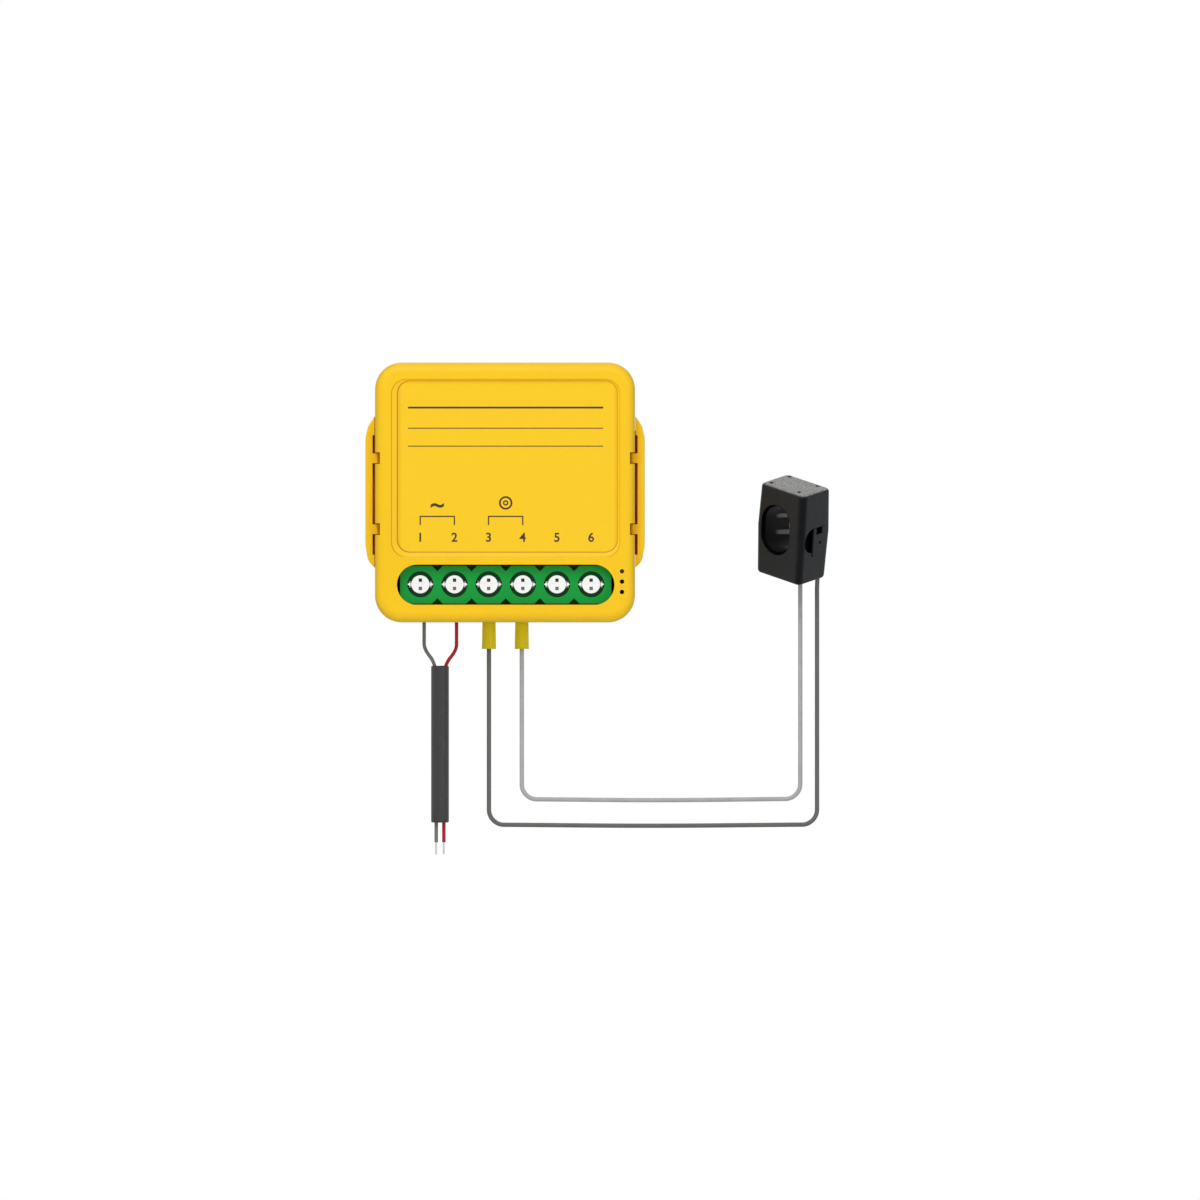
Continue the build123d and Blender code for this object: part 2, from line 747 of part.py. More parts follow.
def light_pipe():
    y = pinhole_y + pinhole_pitch
    pipe = rod(pipe_radius, (pinhole_x, y, board_top + led_height), (pinhole_x, y, under_face))
    tip = rod(pinhole / 2 - board_fit, (pinhole_x, y, under_face), (pinhole_x, y, case_depth - label_step))
    return pipe + tip


# Cords: straight runs joined by tangent arcs, along routes chosen by eye from the photograph
def cord(name, route, diameter, tight):
    """Tube along a route, with each arc as large as its runs allow and no larger than tight at a corner."""
    points = [Vector(*point) for point in route]
    radii = []
    for before, here, after in zip(points, points[1:], points[2:]):
        turn = (here - before).get_angle(after - here)
        free = arc_share * min((here - before).length, (after - here).length) / tan(radians(turn / 2))
        radii.append(min(free, tight) if turn > sharp_turn else free)
    path = FilletPolyline(*points, radius=radii)
    tube = sweep(Plane(points[0], z_dir=path % 0) * Circle(diameter / 2), path)
    section = tube.volume / path.length / (diameter / 2) ** 2
    print(name, "length", round(path.length, 1), "radii", [round(r, 1) for r in radii],
          "section", round(section, 3))
    return tube


dark_route = [(-3.65, -11.1, -28.5), (-3.65, -11.1, -72.3), (-1.65, -11.1, -74.3), (33.0, -10.4, -74.6),
              (67.8, -9.6, -74.3), (69.8, -9.6, -72.3), (69.8, -9.5, -20.8), (69.9, -10.18, -18.92)]
light_route = [(3.7, -11.1, -28.5), (3.7, -11.1, -66.6), (5.7, -11.1, -68.6), (35.0, -9.0, -68.9),
               (64.1, -6.6, -68.6), (66.1, -6.6, -66.6), (66.1, -6.42, -19.5), (66.19, -7.1, -17.61)]
grey_route = [(-18.15, -11.35, -26.2), (-18.15, -11.35, -33.9), (-15.45, -11.35, -37.3),
              (-15.45, -11.35, -78.2)]
red_route = [(-10.9, -11.35, -26.2), (-10.9, -11.35, -33.9), (-13.74, -11.35, -37.3),
             (-13.74, -11.35, -78.2)]


def strand_ends(route):
    """Bare ends of one core: the strip held in its terminal and the tinned tip of the tail."""
    top, bottom = route[0], route[-1]
    held = rod(strand_diameter / 2, (top[0], top[1], strand_top), top)
    tip = rod(strand_diameter / 2, bottom, (bottom[0], bottom[1], strand_foot))
    return Compound([held, tip])


def cable_sheath():
    level = grey_route[0][1]
    sheath = rod(sheath_diameter / 2, (sheath_x, level, sheath_bottom), (sheath_x, level, sheath_top))
    sheath = fillet(sheath.edges().filter_by(GeomType.CIRCLE), sheath_round)
    for route in (grey_route, red_route):
        x = route[-1][0]
        sheath -= rod(core_diameter / 2 + bore_fit, (x, level, sheath_bottom - overrun),
                      (x, level, sheath_top + overrun))
    return sheath


def ferrule_pin(route):
    x, y, z = route[0]
    pin = rod(ferrule_pin_diameter / 2, (x, y, z), (x, y, ferrule_top))
    return pin + rod(ferrule_flange, (x, y, z), (x, y, z + ferrule_flange_height))


def ferrule_sleeve(route):
    """Tapered plastic sleeve, bored for the lead and flared at its mouth."""
    x, y, z = route[0]
    flange_top = z + ferrule_flange_height
    bore = lead_diameter / 2 + bore_fit
    side = make_face(Polyline(
        (ferrule_pin_diameter / 2 + bore_fit, sleeve_top), (sleeve_top_radius, sleeve_top),
        (sleeve_radius, sleeve_bottom), (sleeve_mouth, sleeve_bottom), (bore, sleeve_bottom + sleeve_mouth_depth),
        (bore, z), (ferrule_flange + bore_fit, z), (ferrule_flange + bore_fit, flange_top + bore_fit),
        (ferrule_pin_diameter / 2 + bore_fit, flange_top + bore_fit), close=True))
    return Pos(x, y, 0) * revolve(Plane.XZ * side, Axis.Z)


# Clamp halves: two drafted boxes, widest where they meet, with an oblong bore through both
half_height = clamp_height / 2
cap_top = cap_thickness - half_height
yoke_bottom = cap_top + yoke_lift
bore_straight = bore_height / 2 - bore_radius


def clamp_section(level):
    """Outline of the clamp at one level, drawn in by the draft away from the split."""
    away = abs(level - clamp_split) / (half_height + abs(clamp_split))
    inset = clamp_inset * away
    return Pos(0, 0, level) * RectangleRounded(clamp_width - 2 * inset, clamp_depth - 2 * inset, clamp_corner)


def bore_shape(radius, half_depth):
    """Oblong bar through the clamp, centred on the bore."""
    long_side = 2 * (bore_straight + radius)
    face = Plane((bore_shift, -half_depth, clamp_split), x_dir=(0, 0, 1), z_dir=(0, 1, 0))
    return extrude(face * SlotOverall(long_side, 2 * radius), 2 * half_depth)


def bore_cut():
    """The bore with a flare at each face of the clamp."""
    cut = bore_shape(bore_radius, clamp_depth)
    for side in (-1, 1):
        face = Plane((bore_shift, side * clamp_depth / 2, clamp_split), x_dir=(0, 0, 1), z_dir=(0, -side, 0))
        wide = SlotOverall(2 * (bore_straight + bore_radius + bore_flare), 2 * (bore_radius + bore_flare))
        narrow = SlotOverall(2 * (bore_straight + bore_radius), 2 * bore_radius)
        cut += loft([face * wide, face.offset(2 * bore_flare) * narrow])
    return cut


def core_ring(inner, outer, depth):
    """Oblong ring round the bore."""
    return bore_shape(outer, depth / 2) - bore_shape(inner, depth)


core_inner = bore_radius + core_skin
core_outer = core_inner + core_thick
below = block(-clamp_width, clamp_width, -clamp_depth, clamp_depth, -clamp_height, clamp_split)
above = block(-clamp_width, clamp_width, -clamp_depth, clamp_depth, clamp_split, clamp_height)
core_reach = core_outer + core_gap


def upper_core():
    return core_ring(core_inner, core_outer, core_depth) & above


def lower_core():
    arms = block(bore_shift - core_outer, bore_shift + core_outer, -core_depth / 2, core_depth / 2,
                 yoke_bottom, clamp_split)
    arms = fillet(arms.edges().filter_by(Axis.Y).sort_by(Axis.Z)[:2], yoke_round)
    return arms - block(bore_shift - core_inner, bore_shift + core_inner, -core_depth, core_depth,
                        yoke_bottom + core_thick, clamp_split + overrun)


# Hinge on the side away from the latch
hinge_x = -clamp_width / 2 - hinge_out


def knuckle(low_y, high_y, up):
    """Barrel round the pin with a web into its own half of the clamp."""
    barrel = rod(knuckle_radius, (hinge_x, low_y, clamp_split), (hinge_x, high_y, clamp_split))
    ends = sorted((clamp_split + up * split_gap, clamp_split + up * web_height))
    return barrel + block(hinge_x, web_inside - clamp_width / 2, low_y, high_y, *ends)


def hinge_relief(low_y, high_y):
    return rod(knuckle_radius + knuckle_gap, (hinge_x, low_y - knuckle_gap, clamp_split),
               (hinge_x, high_y + knuckle_gap, clamp_split))


pin_ends = [(hinge_x, side * clamp_depth, clamp_split) for side in (-1, 1)]
pin_hole = rod(knuckle_pin + pin_fit, *pin_ends)
outer_bands = ((-knuckle_half, -knuckle_middle - knuckle_gap), (knuckle_middle + knuckle_gap, knuckle_half))


def hinge_pin():
    return rod(knuckle_pin, (hinge_x, -knuckle_half, clamp_split), (hinge_x, knuckle_half, clamp_split))


# Latch: forked tongue on the base whose two posts reach over the split into the jaw
latch_face = clamp_width / 2 + latch_proud
root_x = latch_face - latch_thick / 2
root_z = latch_low + root_radius
pocket_x = clamp_width / 2 - latch_pocket


def latch_outline():
    """Fork seen from the latch side: y to the right, z up."""
    return make_face(Polyline(
        (latch_left, root_z), (latch_right, root_z), (latch_right, latch_top),
        (latch_right - latch_post, latch_top), (latch_right - latch_post, latch_shoulder),
        (latch_left + latch_post, latch_shoulder), (latch_left + latch_post, latch_top),
        (latch_left, latch_top), close=True))


def latch_tongue():
    tongue = Pos(latch_face - latch_thick, 0, 0) * extrude(Plane.YZ * latch_outline(), latch_thick)
    tongue += rod(root_radius, (root_x, latch_left, root_z), (root_x, latch_right, root_z))
    back = latch_face - latch_thick
    for low_y in (latch_left, latch_right - latch_post):
        tongue += block(back - nib_depth, back + nib_depth, low_y, low_y + latch_post,
                        latch_top - nib_height, latch_top)
    tongue -= block(back - overrun, latch_face + overrun, hole_y - hole_width / 2, hole_y + hole_width / 2,
                    hole_z - hole_width / 2, hole_z + hole_width / 2)
    return tongue


def latch_pocket_cut():
    """Room for the tongue, the finger recess beside it and the notch between its posts."""
    out = clamp_width / 2 + overrun
    cut = block(pocket_x, out, latch_left - latch_gap, latch_right + latch_gap, root_z, latch_top + latch_gap)
    cut += rod(root_radius + root_fit, (root_x, latch_left - latch_gap, root_z),
               (root_x, latch_right + latch_gap, root_z))
    cut += block(root_x, out, latch_left - latch_gap, latch_right + latch_gap,
                 root_z - root_radius - root_fit, root_z)
    deep = clamp_width / 2 - notch_deep
    cut += block(deep, out, latch_left + latch_post, latch_right - latch_post,
                 latch_shoulder, latch_top + latch_gap)
    face = Plane((clamp_width / 2 - recess_depth, latch_left, recess_z), x_dir=(0, 1, 0), z_dir=(1, 0, 0))
    recess_span = 2 * recess_radius
    half_disc = Circle(recess_radius) & Pos(-recess_radius, 0) * Rectangle(recess_span, recess_span)
    return cut + extrude(face * half_disc, recess_depth + overrun)


def clamp_base():
    base = loft([clamp_section(cap_top), clamp_section(clamp_split)]) & (Pos(0, 0, -split_gap) * below)
    base -= bore_cut()
    room = block(bore_shift - core_reach, bore_shift + core_reach, -core_depth / 2 - core_gap,
                 core_depth / 2 + core_gap, coil_room_top, clamp_split + overrun)
    room += block(bore_shift - core_reach, bore_shift + core_reach, -coil_room_depth / 2, coil_room_depth / 2,
                  cap_top - overrun, coil_room_top)
    base -= room - bore_shape(core_inner - core_gap, clamp_depth)
    for band in outer_bands:
        base += knuckle(*band, -1)
    base -= hinge_relief(-knuckle_middle, knuckle_middle)
    return base - pin_hole - latch_pocket_cut()


def clamp_jaw():
    jaw = loft([clamp_section(clamp_split), clamp_section(half_height)])
    jaw = fillet(jaw.faces().sort_by(Axis.Z)[-1].edges(), clamp_edge) & (Pos(0, 0, split_gap) * above)
    jaw -= bore_cut()
    jaw -= (core_ring(core_inner - core_gap, core_reach, core_depth + 2 * core_gap) & above)
    jaw -= block(bore_shift - spring_length / 2 - core_gap, bore_shift + spring_length / 2 + core_gap,
                 -spring_width / 2 - core_gap, spring_width / 2 + core_gap,
                 core_crown, core_crown + spring_rise + spring_thickness)
    for x in (-dimple_x, dimple_x):
        for y in (-dimple_y, dimple_y):
            at = (x + dimple_shift, y - dimple_shift / 2)
            jaw -= rod(dimple_radius, (*at, half_height - dimple_depth), (*at, half_height + overrun))
    jaw += knuckle(-knuckle_middle, knuckle_middle, 1)
    for band in outer_bands:
        jaw -= hinge_relief(*band)
    return jaw - pin_hole - latch_pocket_cut()


# Sprung leaf above the upper core, and the coil on the lower core's yoke
core_crown = clamp_split + bore_straight + core_outer
yoke_middle = yoke_bottom + core_thick / 2


def core_spring():
    """Bowed strip: its middle bears on the core and its ends on the jaw."""
    half, low = spring_length / 2, core_crown
    high = low + spring_rise
    under = ThreePointArc((-half, high), (0, low), (half, high))
    over = Pos(0, spring_thickness) * under
    ends = Line(under @ 0, over @ 0) + Line(under @ 1, over @ 1)
    strip = make_face(under + over + ends)
    return Pos(bore_shift, spring_width / 2, 0) * extrude(Plane.XZ * strip, spring_width)


def coil_layer(half_length, inner, outer):
    """Rectangular ring round the yoke, given how far it lies outside the core."""
    def bar(grow, reach):
        return block(bore_shift - reach, bore_shift + reach, -core_depth / 2 - grow, core_depth / 2 + grow,
                     yoke_middle - core_thick / 2 - grow, yoke_middle + core_thick / 2 + grow)
    return bar(outer, half_length) - bar(inner, half_length + overrun)


def coil_bobbin():
    tube = coil_layer(bobbin_half, core_gap, core_gap + bobbin_wall)
    flange = core_gap + bobbin_wall + winding_build + flange_over
    plates = coil_layer(bobbin_half, core_gap, flange)
    plates -= coil_layer(bobbin_half - flange_wall, 0, flange + overrun)
    return tube + plates


def coil_winding():
    inner = core_gap + bobbin_wall
    winding = coil_layer(bobbin_half - flange_wall, inner, inner + winding_build)
    return winding


def clamp_cap():
    cap = loft([clamp_section(-half_height), clamp_section(cap_top)])
    return fillet(cap.faces().sort_by(Axis.Z)[0].edges(), clamp_edge)


# Every node, stood up or hung in its place
parts["front_cover"] = stand_up * front_cover()
parts["rear_shell"] = stand_up * rear_shell()
parts["terminal_housing"] = stand_up * terminal_housing()
for k, x in enumerate(way_x):
    parts[f"terminal_screw_{k + 1}"] = stand_up * terminal_screw(x)
    parts[f"terminal_cage_{k + 1}"] = stand_up * terminal_cage(x, grip[k])
parts["current_bars"] = stand_up * current_bars()
parts["main_board"] = stand_up * main_board()
parts["metering_chip"] = stand_up * chip(metering_length, chip_height, metering_legs, metering_share)
parts["power_chip"] = stand_up * chip(power_length, chip_height, power_legs, power_share)
parts["bridge_rectifier"] = stand_up * chip(bridge_length, bridge_height, bridge_legs, bridge_share)
parts["voltage_regulator"] = stand_up * chip(regulator_length, chip_height, regulator_legs, regulator_share)
bulk_cans = [can(bulk_radius, bulk_height, share) for share in bulk_shares]
parts["bulk_capacitors"] = stand_up * Compound(bulk_cans)
parts["filter_capacitor"] = stand_up * can(filter_radius, filter_height, filter_share)
parts["power_inductor"] = stand_up * power_inductor()
parts["freewheel_diode"] = stand_up * freewheel_diode()
parts["fuse_resistor"] = stand_up * fuse_resistor()
parts["varistor"] = stand_up * varistor()
parts["clock_crystal"] = stand_up * clock_crystal()
parts["burden_resistors"] = stand_up * burden_resistors()
parts["wifi_board"] = stand_up * wifi_board()
parts["wifi_shield"] = stand_up * wifi_shield()
parts["pairing_switch"] = stand_up * pairing_switch()
parts["switch_plunger"] = stand_up * switch_plunger()
parts["status_led"] = stand_up * status_led()
parts["light_pipe"] = stand_up * light_pipe()
parts["mains_core_grey"] = cord("mains_core_grey", grey_route, core_diameter, core_bend)
parts["mains_core_red"] = cord("mains_core_red", red_route, core_diameter, core_bend)
parts["strand_ends_grey"] = strand_ends(grey_route)
parts["strand_ends_red"] = strand_ends(red_route)
parts["cable_sheath"] = cable_sheath()
for side, route in (("dark", dark_route), ("light", light_route)):
    parts[f"ferrule_pin_{side}"] = ferrule_pin(route)
    parts[f"ferrule_sleeve_{side}"] = ferrule_sleeve(route)
    parts[f"clamp_lead_{side}"] = cord(f"clamp_lead_{side}", route, lead_diameter, lead_bend)
parts["clamp_base"] = clamp_place * clamp_base()
parts["clamp_jaw"] = clamp_place * clamp_jaw()
parts["clamp_cap"] = clamp_place * clamp_cap()
parts["lower_core"] = clamp_place * lower_core()
parts["upper_core"] = clamp_place * upper_core()
parts["core_spring"] = clamp_place * core_spring()
parts["coil_bobbin"] = clamp_place * coil_bobbin()
parts["coil_winding"] = clamp_place * coil_winding()
parts["hinge_pin"] = clamp_place * hinge_pin()
parts["latch_tongue"] = clamp_place * latch_tongue()

os.makedirs("parts", exist_ok=True)
for name, solid in parts.items():
    export_step(solid, f"parts/{name}.step")
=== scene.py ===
# Smart energy monitor for a wall box: a yellow module with a green six-way terminal strip, a short
# mains tail, and a black split-core current clamp that hangs on two leads.
import bmesh
import bpy
import math
from mathutils import Euler, Matrix, Vector


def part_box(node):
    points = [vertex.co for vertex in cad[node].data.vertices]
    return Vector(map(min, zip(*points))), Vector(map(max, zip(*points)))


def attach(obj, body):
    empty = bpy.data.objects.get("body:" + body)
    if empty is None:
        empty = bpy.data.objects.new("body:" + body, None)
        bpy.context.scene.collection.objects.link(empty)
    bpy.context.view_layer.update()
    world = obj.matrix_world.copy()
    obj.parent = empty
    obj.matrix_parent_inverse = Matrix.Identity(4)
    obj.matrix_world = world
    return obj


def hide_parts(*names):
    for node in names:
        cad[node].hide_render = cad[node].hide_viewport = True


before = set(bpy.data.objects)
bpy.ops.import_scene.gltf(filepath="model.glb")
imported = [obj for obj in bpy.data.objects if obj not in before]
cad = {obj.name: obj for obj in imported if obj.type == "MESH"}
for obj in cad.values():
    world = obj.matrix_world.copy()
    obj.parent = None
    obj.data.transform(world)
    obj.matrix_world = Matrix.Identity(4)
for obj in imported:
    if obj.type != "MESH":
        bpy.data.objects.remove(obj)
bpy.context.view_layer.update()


# Casing: two shells moulded in yellow plastic with a fine spark-eroded grain, the cover clipped over
# the tray by four hooks on the tray's side bars. The sunken panel for the label is smoother and a
# shade lighter, with painted shade along its edges and at the foot and brow of its sloping rim. The
# rounded rim of the face carries painted shade and is a little rubbed, and the slots beside the bars
# are painted orange with the light that gathers in them.

class Value:
    """One socket of a node tree, written into sums as if it were a number."""

    def __init__(self, recipe, socket):
        self.recipe = recipe
        self.socket = socket

    def other(self, name):
        """Another output of the same node."""
        return Value(self.recipe, self.socket.node.outputs[name])

    def __add__(self, more):
        return self.recipe.sum("ADD", self, more)

    def __sub__(self, less):
        return self.recipe.sum("SUBTRACT", self, less)

    def __rsub__(self, whole):
        return self.recipe.sum("SUBTRACT", whole, self)

    def __mul__(self, times):
        return self.recipe.sum("MULTIPLY", self, times)

    def __truediv__(self, parts):
        return self.recipe.sum("DIVIDE", self, parts)

    def __mod__(self, step):
        return self.recipe.sum("FLOORED_MODULO", self, step)

    def __pow__(self, power):
        return self.recipe.sum("POWER", self, power)

    def __lt__(self, limit):
        return self.recipe.sum("LESS_THAN", self, limit)

    def __gt__(self, limit):
        return self.recipe.sum("GREATER_THAN", self, limit)

    def __abs__(self):
        return self.recipe.sum("ABSOLUTE", self)

    __radd__ = __add__
    __rmul__ = __mul__


class Recipe:
    """A node tree, filled one node at a time."""

    def __init__(self, tree):
        self.tree = tree

    def node(self, kind, settings=None, inputs=None, output=0):
        """Adds a node: its settings first, then the values or links of its sockets."""
        made = self.tree.nodes.new(kind)
        for name, setting in (settings or {}).items():
            if name == "stops":
                ramp = made.color_ramp.elements
                while len(ramp) < len(setting):
                    ramp.new(1.0)
                for stop, (position, colour) in zip(ramp, setting):
                    stop.position = position
                    stop.color = colour
            else:
                setattr(made, name, setting)
        for name, value in (inputs or {}).items():
            self.feed(made.inputs[name], value)
        return Value(self, made.outputs[output])

    def feed(self, socket, value):
        """Links a value to a socket, or sets the number or colour on it."""
        if isinstance(value, Value):
            self.tree.links.new(value.socket, socket)
        else:
            socket.default_value = value

    def sum(self, operation, *values):
        return self.node("ShaderNodeMath", {"operation": operation}, dict(enumerate(values)))

    def sine(self, value):
        return self.sum("SINE", value)


class Finish(Recipe):
    """A material round one shader, with the piece's own coordinates in metres."""

    def __init__(self, name, **fixed):
        self.material = bpy.data.materials.new(name)
        self.material.use_nodes = True
        super().__init__(self.material.node_tree)
        self.shader = self.tree.nodes["Principled BSDF"]
        self.place = self.node("ShaderNodeTexCoord", output="Object")
        self.x = self.node("ShaderNodeSeparateXYZ", inputs={"Vector": self.place})
        self.y = self.x.other("Y")
        self.z = self.x.other("Z")
        for socket, value in fixed.items():
            self.shader.inputs[socket.replace("_", " ")].default_value = value

    def wear(self, **looks):
        """Feeds the shader what changes over the surface, and gives the material back."""
        for socket, value in looks.items():
            self.feed(self.shader.inputs[socket.replace("_", " ")], value)
        return self.material

    def plain(self):
        """Wears the finish as its recipe left it, with nothing more on it."""
        return self.wear(Base_Color=self.colour, Roughness=self.roughness,
                         Normal=self.relief(self.height, self.depth))

    def noise(self, scale, detail=3.0, roughness=0.5, at=None):
        """Soft random clouds, so many to the metre."""
        return self.node("ShaderNodeTexNoise", inputs={
            "Vector": at or self.place, "Scale": scale, "Detail": detail, "Roughness": roughness})

    def cells(self, scale):
        """Distance to scattered points, so many to the metre."""
        return self.node("ShaderNodeTexVoronoi", inputs={"Vector": self.place, "Scale": scale})

    def stretched(self, x, y, z):
        """The piece's coordinates drawn out along its axes, for brushed and drawn surfaces."""
        return self.node("ShaderNodeVectorMath", {"operation": "MULTIPLY"}, {0: self.place, 1: (x, y, z)})

    def between(self, low, high, value):
        """Rises softly from 0 to 1 while the value goes from low to high."""
        return self.node("ShaderNodeMapRange", {"interpolation_type": "SMOOTHSTEP"}, {
            "Value": value, "From Min": low, "From Max": high})

    def blend(self, share, first, second):
        """The first colour, turning into the second by the share."""
        return self.node("ShaderNodeMix", {"data_type": "RGBA"}, {0: share, 6: first, 7: second}, output=2)

    def relief(self, height, depth):
        """A surface raised by so many metres where the height is 1."""
        return self.node("ShaderNodeBump", inputs={"Height": height, "Distance": depth, "Strength": 1.0})

    def facing_wall(self):
        """How far the surface faces the wall: 1 at the back, 0 at the sides and -1 in front."""
        normal = self.node("ShaderNodeNewGeometry", output="Normal")
        return self.node("ShaderNodeSeparateXYZ", inputs={"Vector": normal}, output="Y")


def rgb(red, green, blue, level=1.0):
    """A colour given from 0 to 255 as a picture shows it, in the renderer's own light."""
    parts = [(part / 255 + 0.055) / 1.055 for part in (red, green, blue)]
    return tuple(min(1.0, level * part ** 2.4) for part in parts) + (1.0,)


def dress(material, *names):
    """Gives CAD parts their material."""
    for name in names:
        mesh = cad[name].data
        mesh.materials.clear()
        mesh.materials.append(material)


def fit_piece(name, mesh, material, stands_for=()):
    """Puts a finished mesh in the object under its name, riding on the body that stays still."""
    mesh.materials.clear()
    mesh.materials.append(material)
    piece = bpy.data.objects.new(name, mesh)
    bpy.context.scene.collection.objects.link(piece)
    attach(piece, "monitor")
    if stands_for:
        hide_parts(*stands_for)
    return piece


def moulded(name, red, green, blue, gloss, grain, depth, shine=0.3):
    """Moulded plastic: faint flow clouds in the colour, a fine grain, and a sheen that varies with it."""
    finish = Finish(name, Specular_IOR_Level=shine)
    clouds = finish.noise(70, 4)
    speck = finish.noise(grain, 2, 0.6)
    colour = finish.blend(clouds, rgb(red, green, blue, 0.95), rgb(red, green, blue, 1.05))
    finish.colour = finish.blend(speck * 0.12, colour, rgb(red, green, blue, 0.8))
    finish.roughness = gloss + speck * 0.1 + clouds * 0.06
    finish.height = speck
    finish.depth = depth
    return finish


cover_low, cover_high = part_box("front_cover")
face_level = cover_low.y
panel_level = -0.0206
panel_left, panel_right = cover_low.x + 0.0052, cover_high.x - 0.004
panel_bottom, panel_top = -0.01295, cover_high.z - 0.0042
slope_left, slope_right, slope_bottom, slope_top = 0.0017, 0.0008, 0.0014, 0.0007
slot_inner, slot_outer = 0.02895, 0.02963
slot_front, slot_back = -0.0168, -0.0139
slot_foot, slot_head = -0.0139, 0.0128
rounding, rounding_shade, panel_shade = 0.0022, 0.003, 0.0009
panel_skin = 0.00004
foot_near, foot_far = 0.000008, 0.00008
brow_near, brow_far = 0.000004, 0.00006

casing = moulded("casing_yellow", 247, 198, 8, 0.42, 4200, 0.000012)
turned_away = 1 - abs(casing.facing_wall())
on_panel = ((casing.x > panel_left) * (casing.x < panel_right) * (casing.z > panel_bottom)
            * (casing.z < panel_top) * (abs(casing.y - panel_level) < panel_skin))
rim = casing.between(0.2, 0.6, turned_away) * (casing.y < face_level + rounding)
scuffs = casing.between(0.58, 0.72, casing.noise(900, 5, 0.7)) * rim

# The recess's sloping rim, with painted shade at its foot and at its brow
in_recess = ((casing.x > panel_left - slope_left) * (casing.x < panel_right + slope_right)
             * (casing.z > panel_bottom - slope_bottom) * (casing.z < panel_top + slope_top))
foot_shade = in_recess * (casing.y < panel_level - foot_near) * (casing.y > panel_level - foot_far)
brow_shade = in_recess * (casing.y < face_level + brow_far) * (casing.y > face_level + brow_near)

# The slots between the casing's sides and the bars, painted orange with the light that gathers there
beside = abs(casing.x)
slot_glow = ((beside > slot_inner) * (beside < slot_outer) * (casing.y > slot_front) * (casing.y < slot_back)
           * (casing.z > slot_foot) * (casing.z < slot_head))

# Painted shade on the panel's edge, on the rim of the recess and on the rounded rim of the face, then the
# painted orange light of the slots
from_edge = casing.sum("MINIMUM", casing.x - panel_left, casing.sum(
    "MINIMUM", panel_right - casing.x, panel_top - casing.z))
field = casing.blend(on_panel, casing.colour, casing.blend(
    casing.between(panel_shade, 0.0, from_edge) * 0.4, rgb(247, 200, 20), rgb(222, 152, 6)))
field = casing.blend(foot_shade * 0.95 + brow_shade * 0.75, field, rgb(190, 128, 4))
rim_shade = casing.between(0.1, 0.75, turned_away) * (casing.y < face_level + rounding_shade)
field = casing.blend(rim_shade * 0.7, field, rgb(202, 160, 0))
field = casing.blend(slot_glow, field, rgb(255, 136, 0))
casing_yellow = casing.wear(
    Base_Color=casing.blend(scuffs * 0.35, field, rgb(255, 222, 90)),
    Roughness=casing.roughness + on_panel * 0.06 + scuffs * 0.15 + slot_glow * 0.5,
    Normal=casing.relief(casing.height * (1 - on_panel * 0.5), casing.depth))
dress(casing_yellow, "front_cover", "rear_shell")


# Print on the label panel: dark ink laid on by pad printing, two hundredths of a millimetre thick.
# Plain terminal numbers, a bracket over each wired pair with a plain sign for mains and for the
# clamp's ring, and above them three ruled lines to write on.

ways = 6
way_pitch = 0.00762
first_way = -0.01888
number_level, number_height = -0.01013, 0.0028
ink_depth, ink_weight = 0.00002, 0.02
bracket_top, bracket_bottom, bracket_line = -0.00522, -0.0073, 0.00028
sign_level = -0.00235
wave_drop, wave_size = 0.0004, 0.0052
sign_rings = ((0.0015, 0.0004), (0.0006, 0.0003))
ruled_left, ruled_right = -0.0216, 0.0219
ruled_lines = ((0.0189, 0.00042), (0.0143, 0.0002), (0.0103, 0.0002))


def way_x(way):
    """Where a terminal's screw lies, counted from 1 at the left."""
    return first_way + (way - 1) * way_pitch


def print_bar(sheet, left, right, bottom, top):
    """One printed bar, standing proud of the panel by the ink's thickness."""
    middle = Vector(((left + right) / 2, panel_level - ink_depth / 2, (bottom + top) / 2))
    size = Matrix.Diagonal((right - left, ink_depth, top - bottom, 1))
    bmesh.ops.create_cube(sheet, size=1, matrix=Matrix.Translation(middle) @ size)


def print_words(sheet, words, x, z, height):
    """A number or sign in the plain built-in face, drawn a metre high, shrunk and turned to the front."""
    type_face = bpy.data.curves.new("type", "FONT")
    type_face.body = words
    type_face.align_x = "CENTER"
    type_face.align_y = "CENTER"
    type_face.extrude = ink_depth / height / 2
    type_face.offset = ink_weight
    holder = bpy.data.objects.new("type", type_face)
    bpy.context.scene.collection.objects.link(holder)
    bpy.context.view_layer.update()
    letters = bpy.data.meshes.new_from_object(holder.evaluated_get(bpy.context.evaluated_depsgraph_get()))
    letters.transform(Matrix.Translation((x, panel_level - ink_depth / 2, z))
                      @ Matrix.Rotation(math.pi / 2, 4, "X") @ Matrix.Scale(height, 4))
    sheet.from_mesh(letters)
    bpy.data.objects.remove(holder)


def print_ring(sheet, x, z, radius, line, steps=48):
    """A flat printed ring, closed all round."""
    loops = []
    for reach in (radius, radius - line):
        for level in (panel_level, panel_level - ink_depth):
            loops.append([sheet.verts.new((x + reach * math.cos(turn), level, z + reach * math.sin(turn)))
                          for turn in (2 * math.pi * step / steps for step in range(steps))])
    outer_back, outer_front, inner_back, inner_front = loops
    for here in range(steps):
        there = (here + 1) % steps
        for one, two in ((outer_back, outer_front), (outer_front, inner_front),
                         (inner_front, inner_back), (inner_back, outer_back)):
            sheet.faces.new((one[here], one[there], two[there], two[here]))


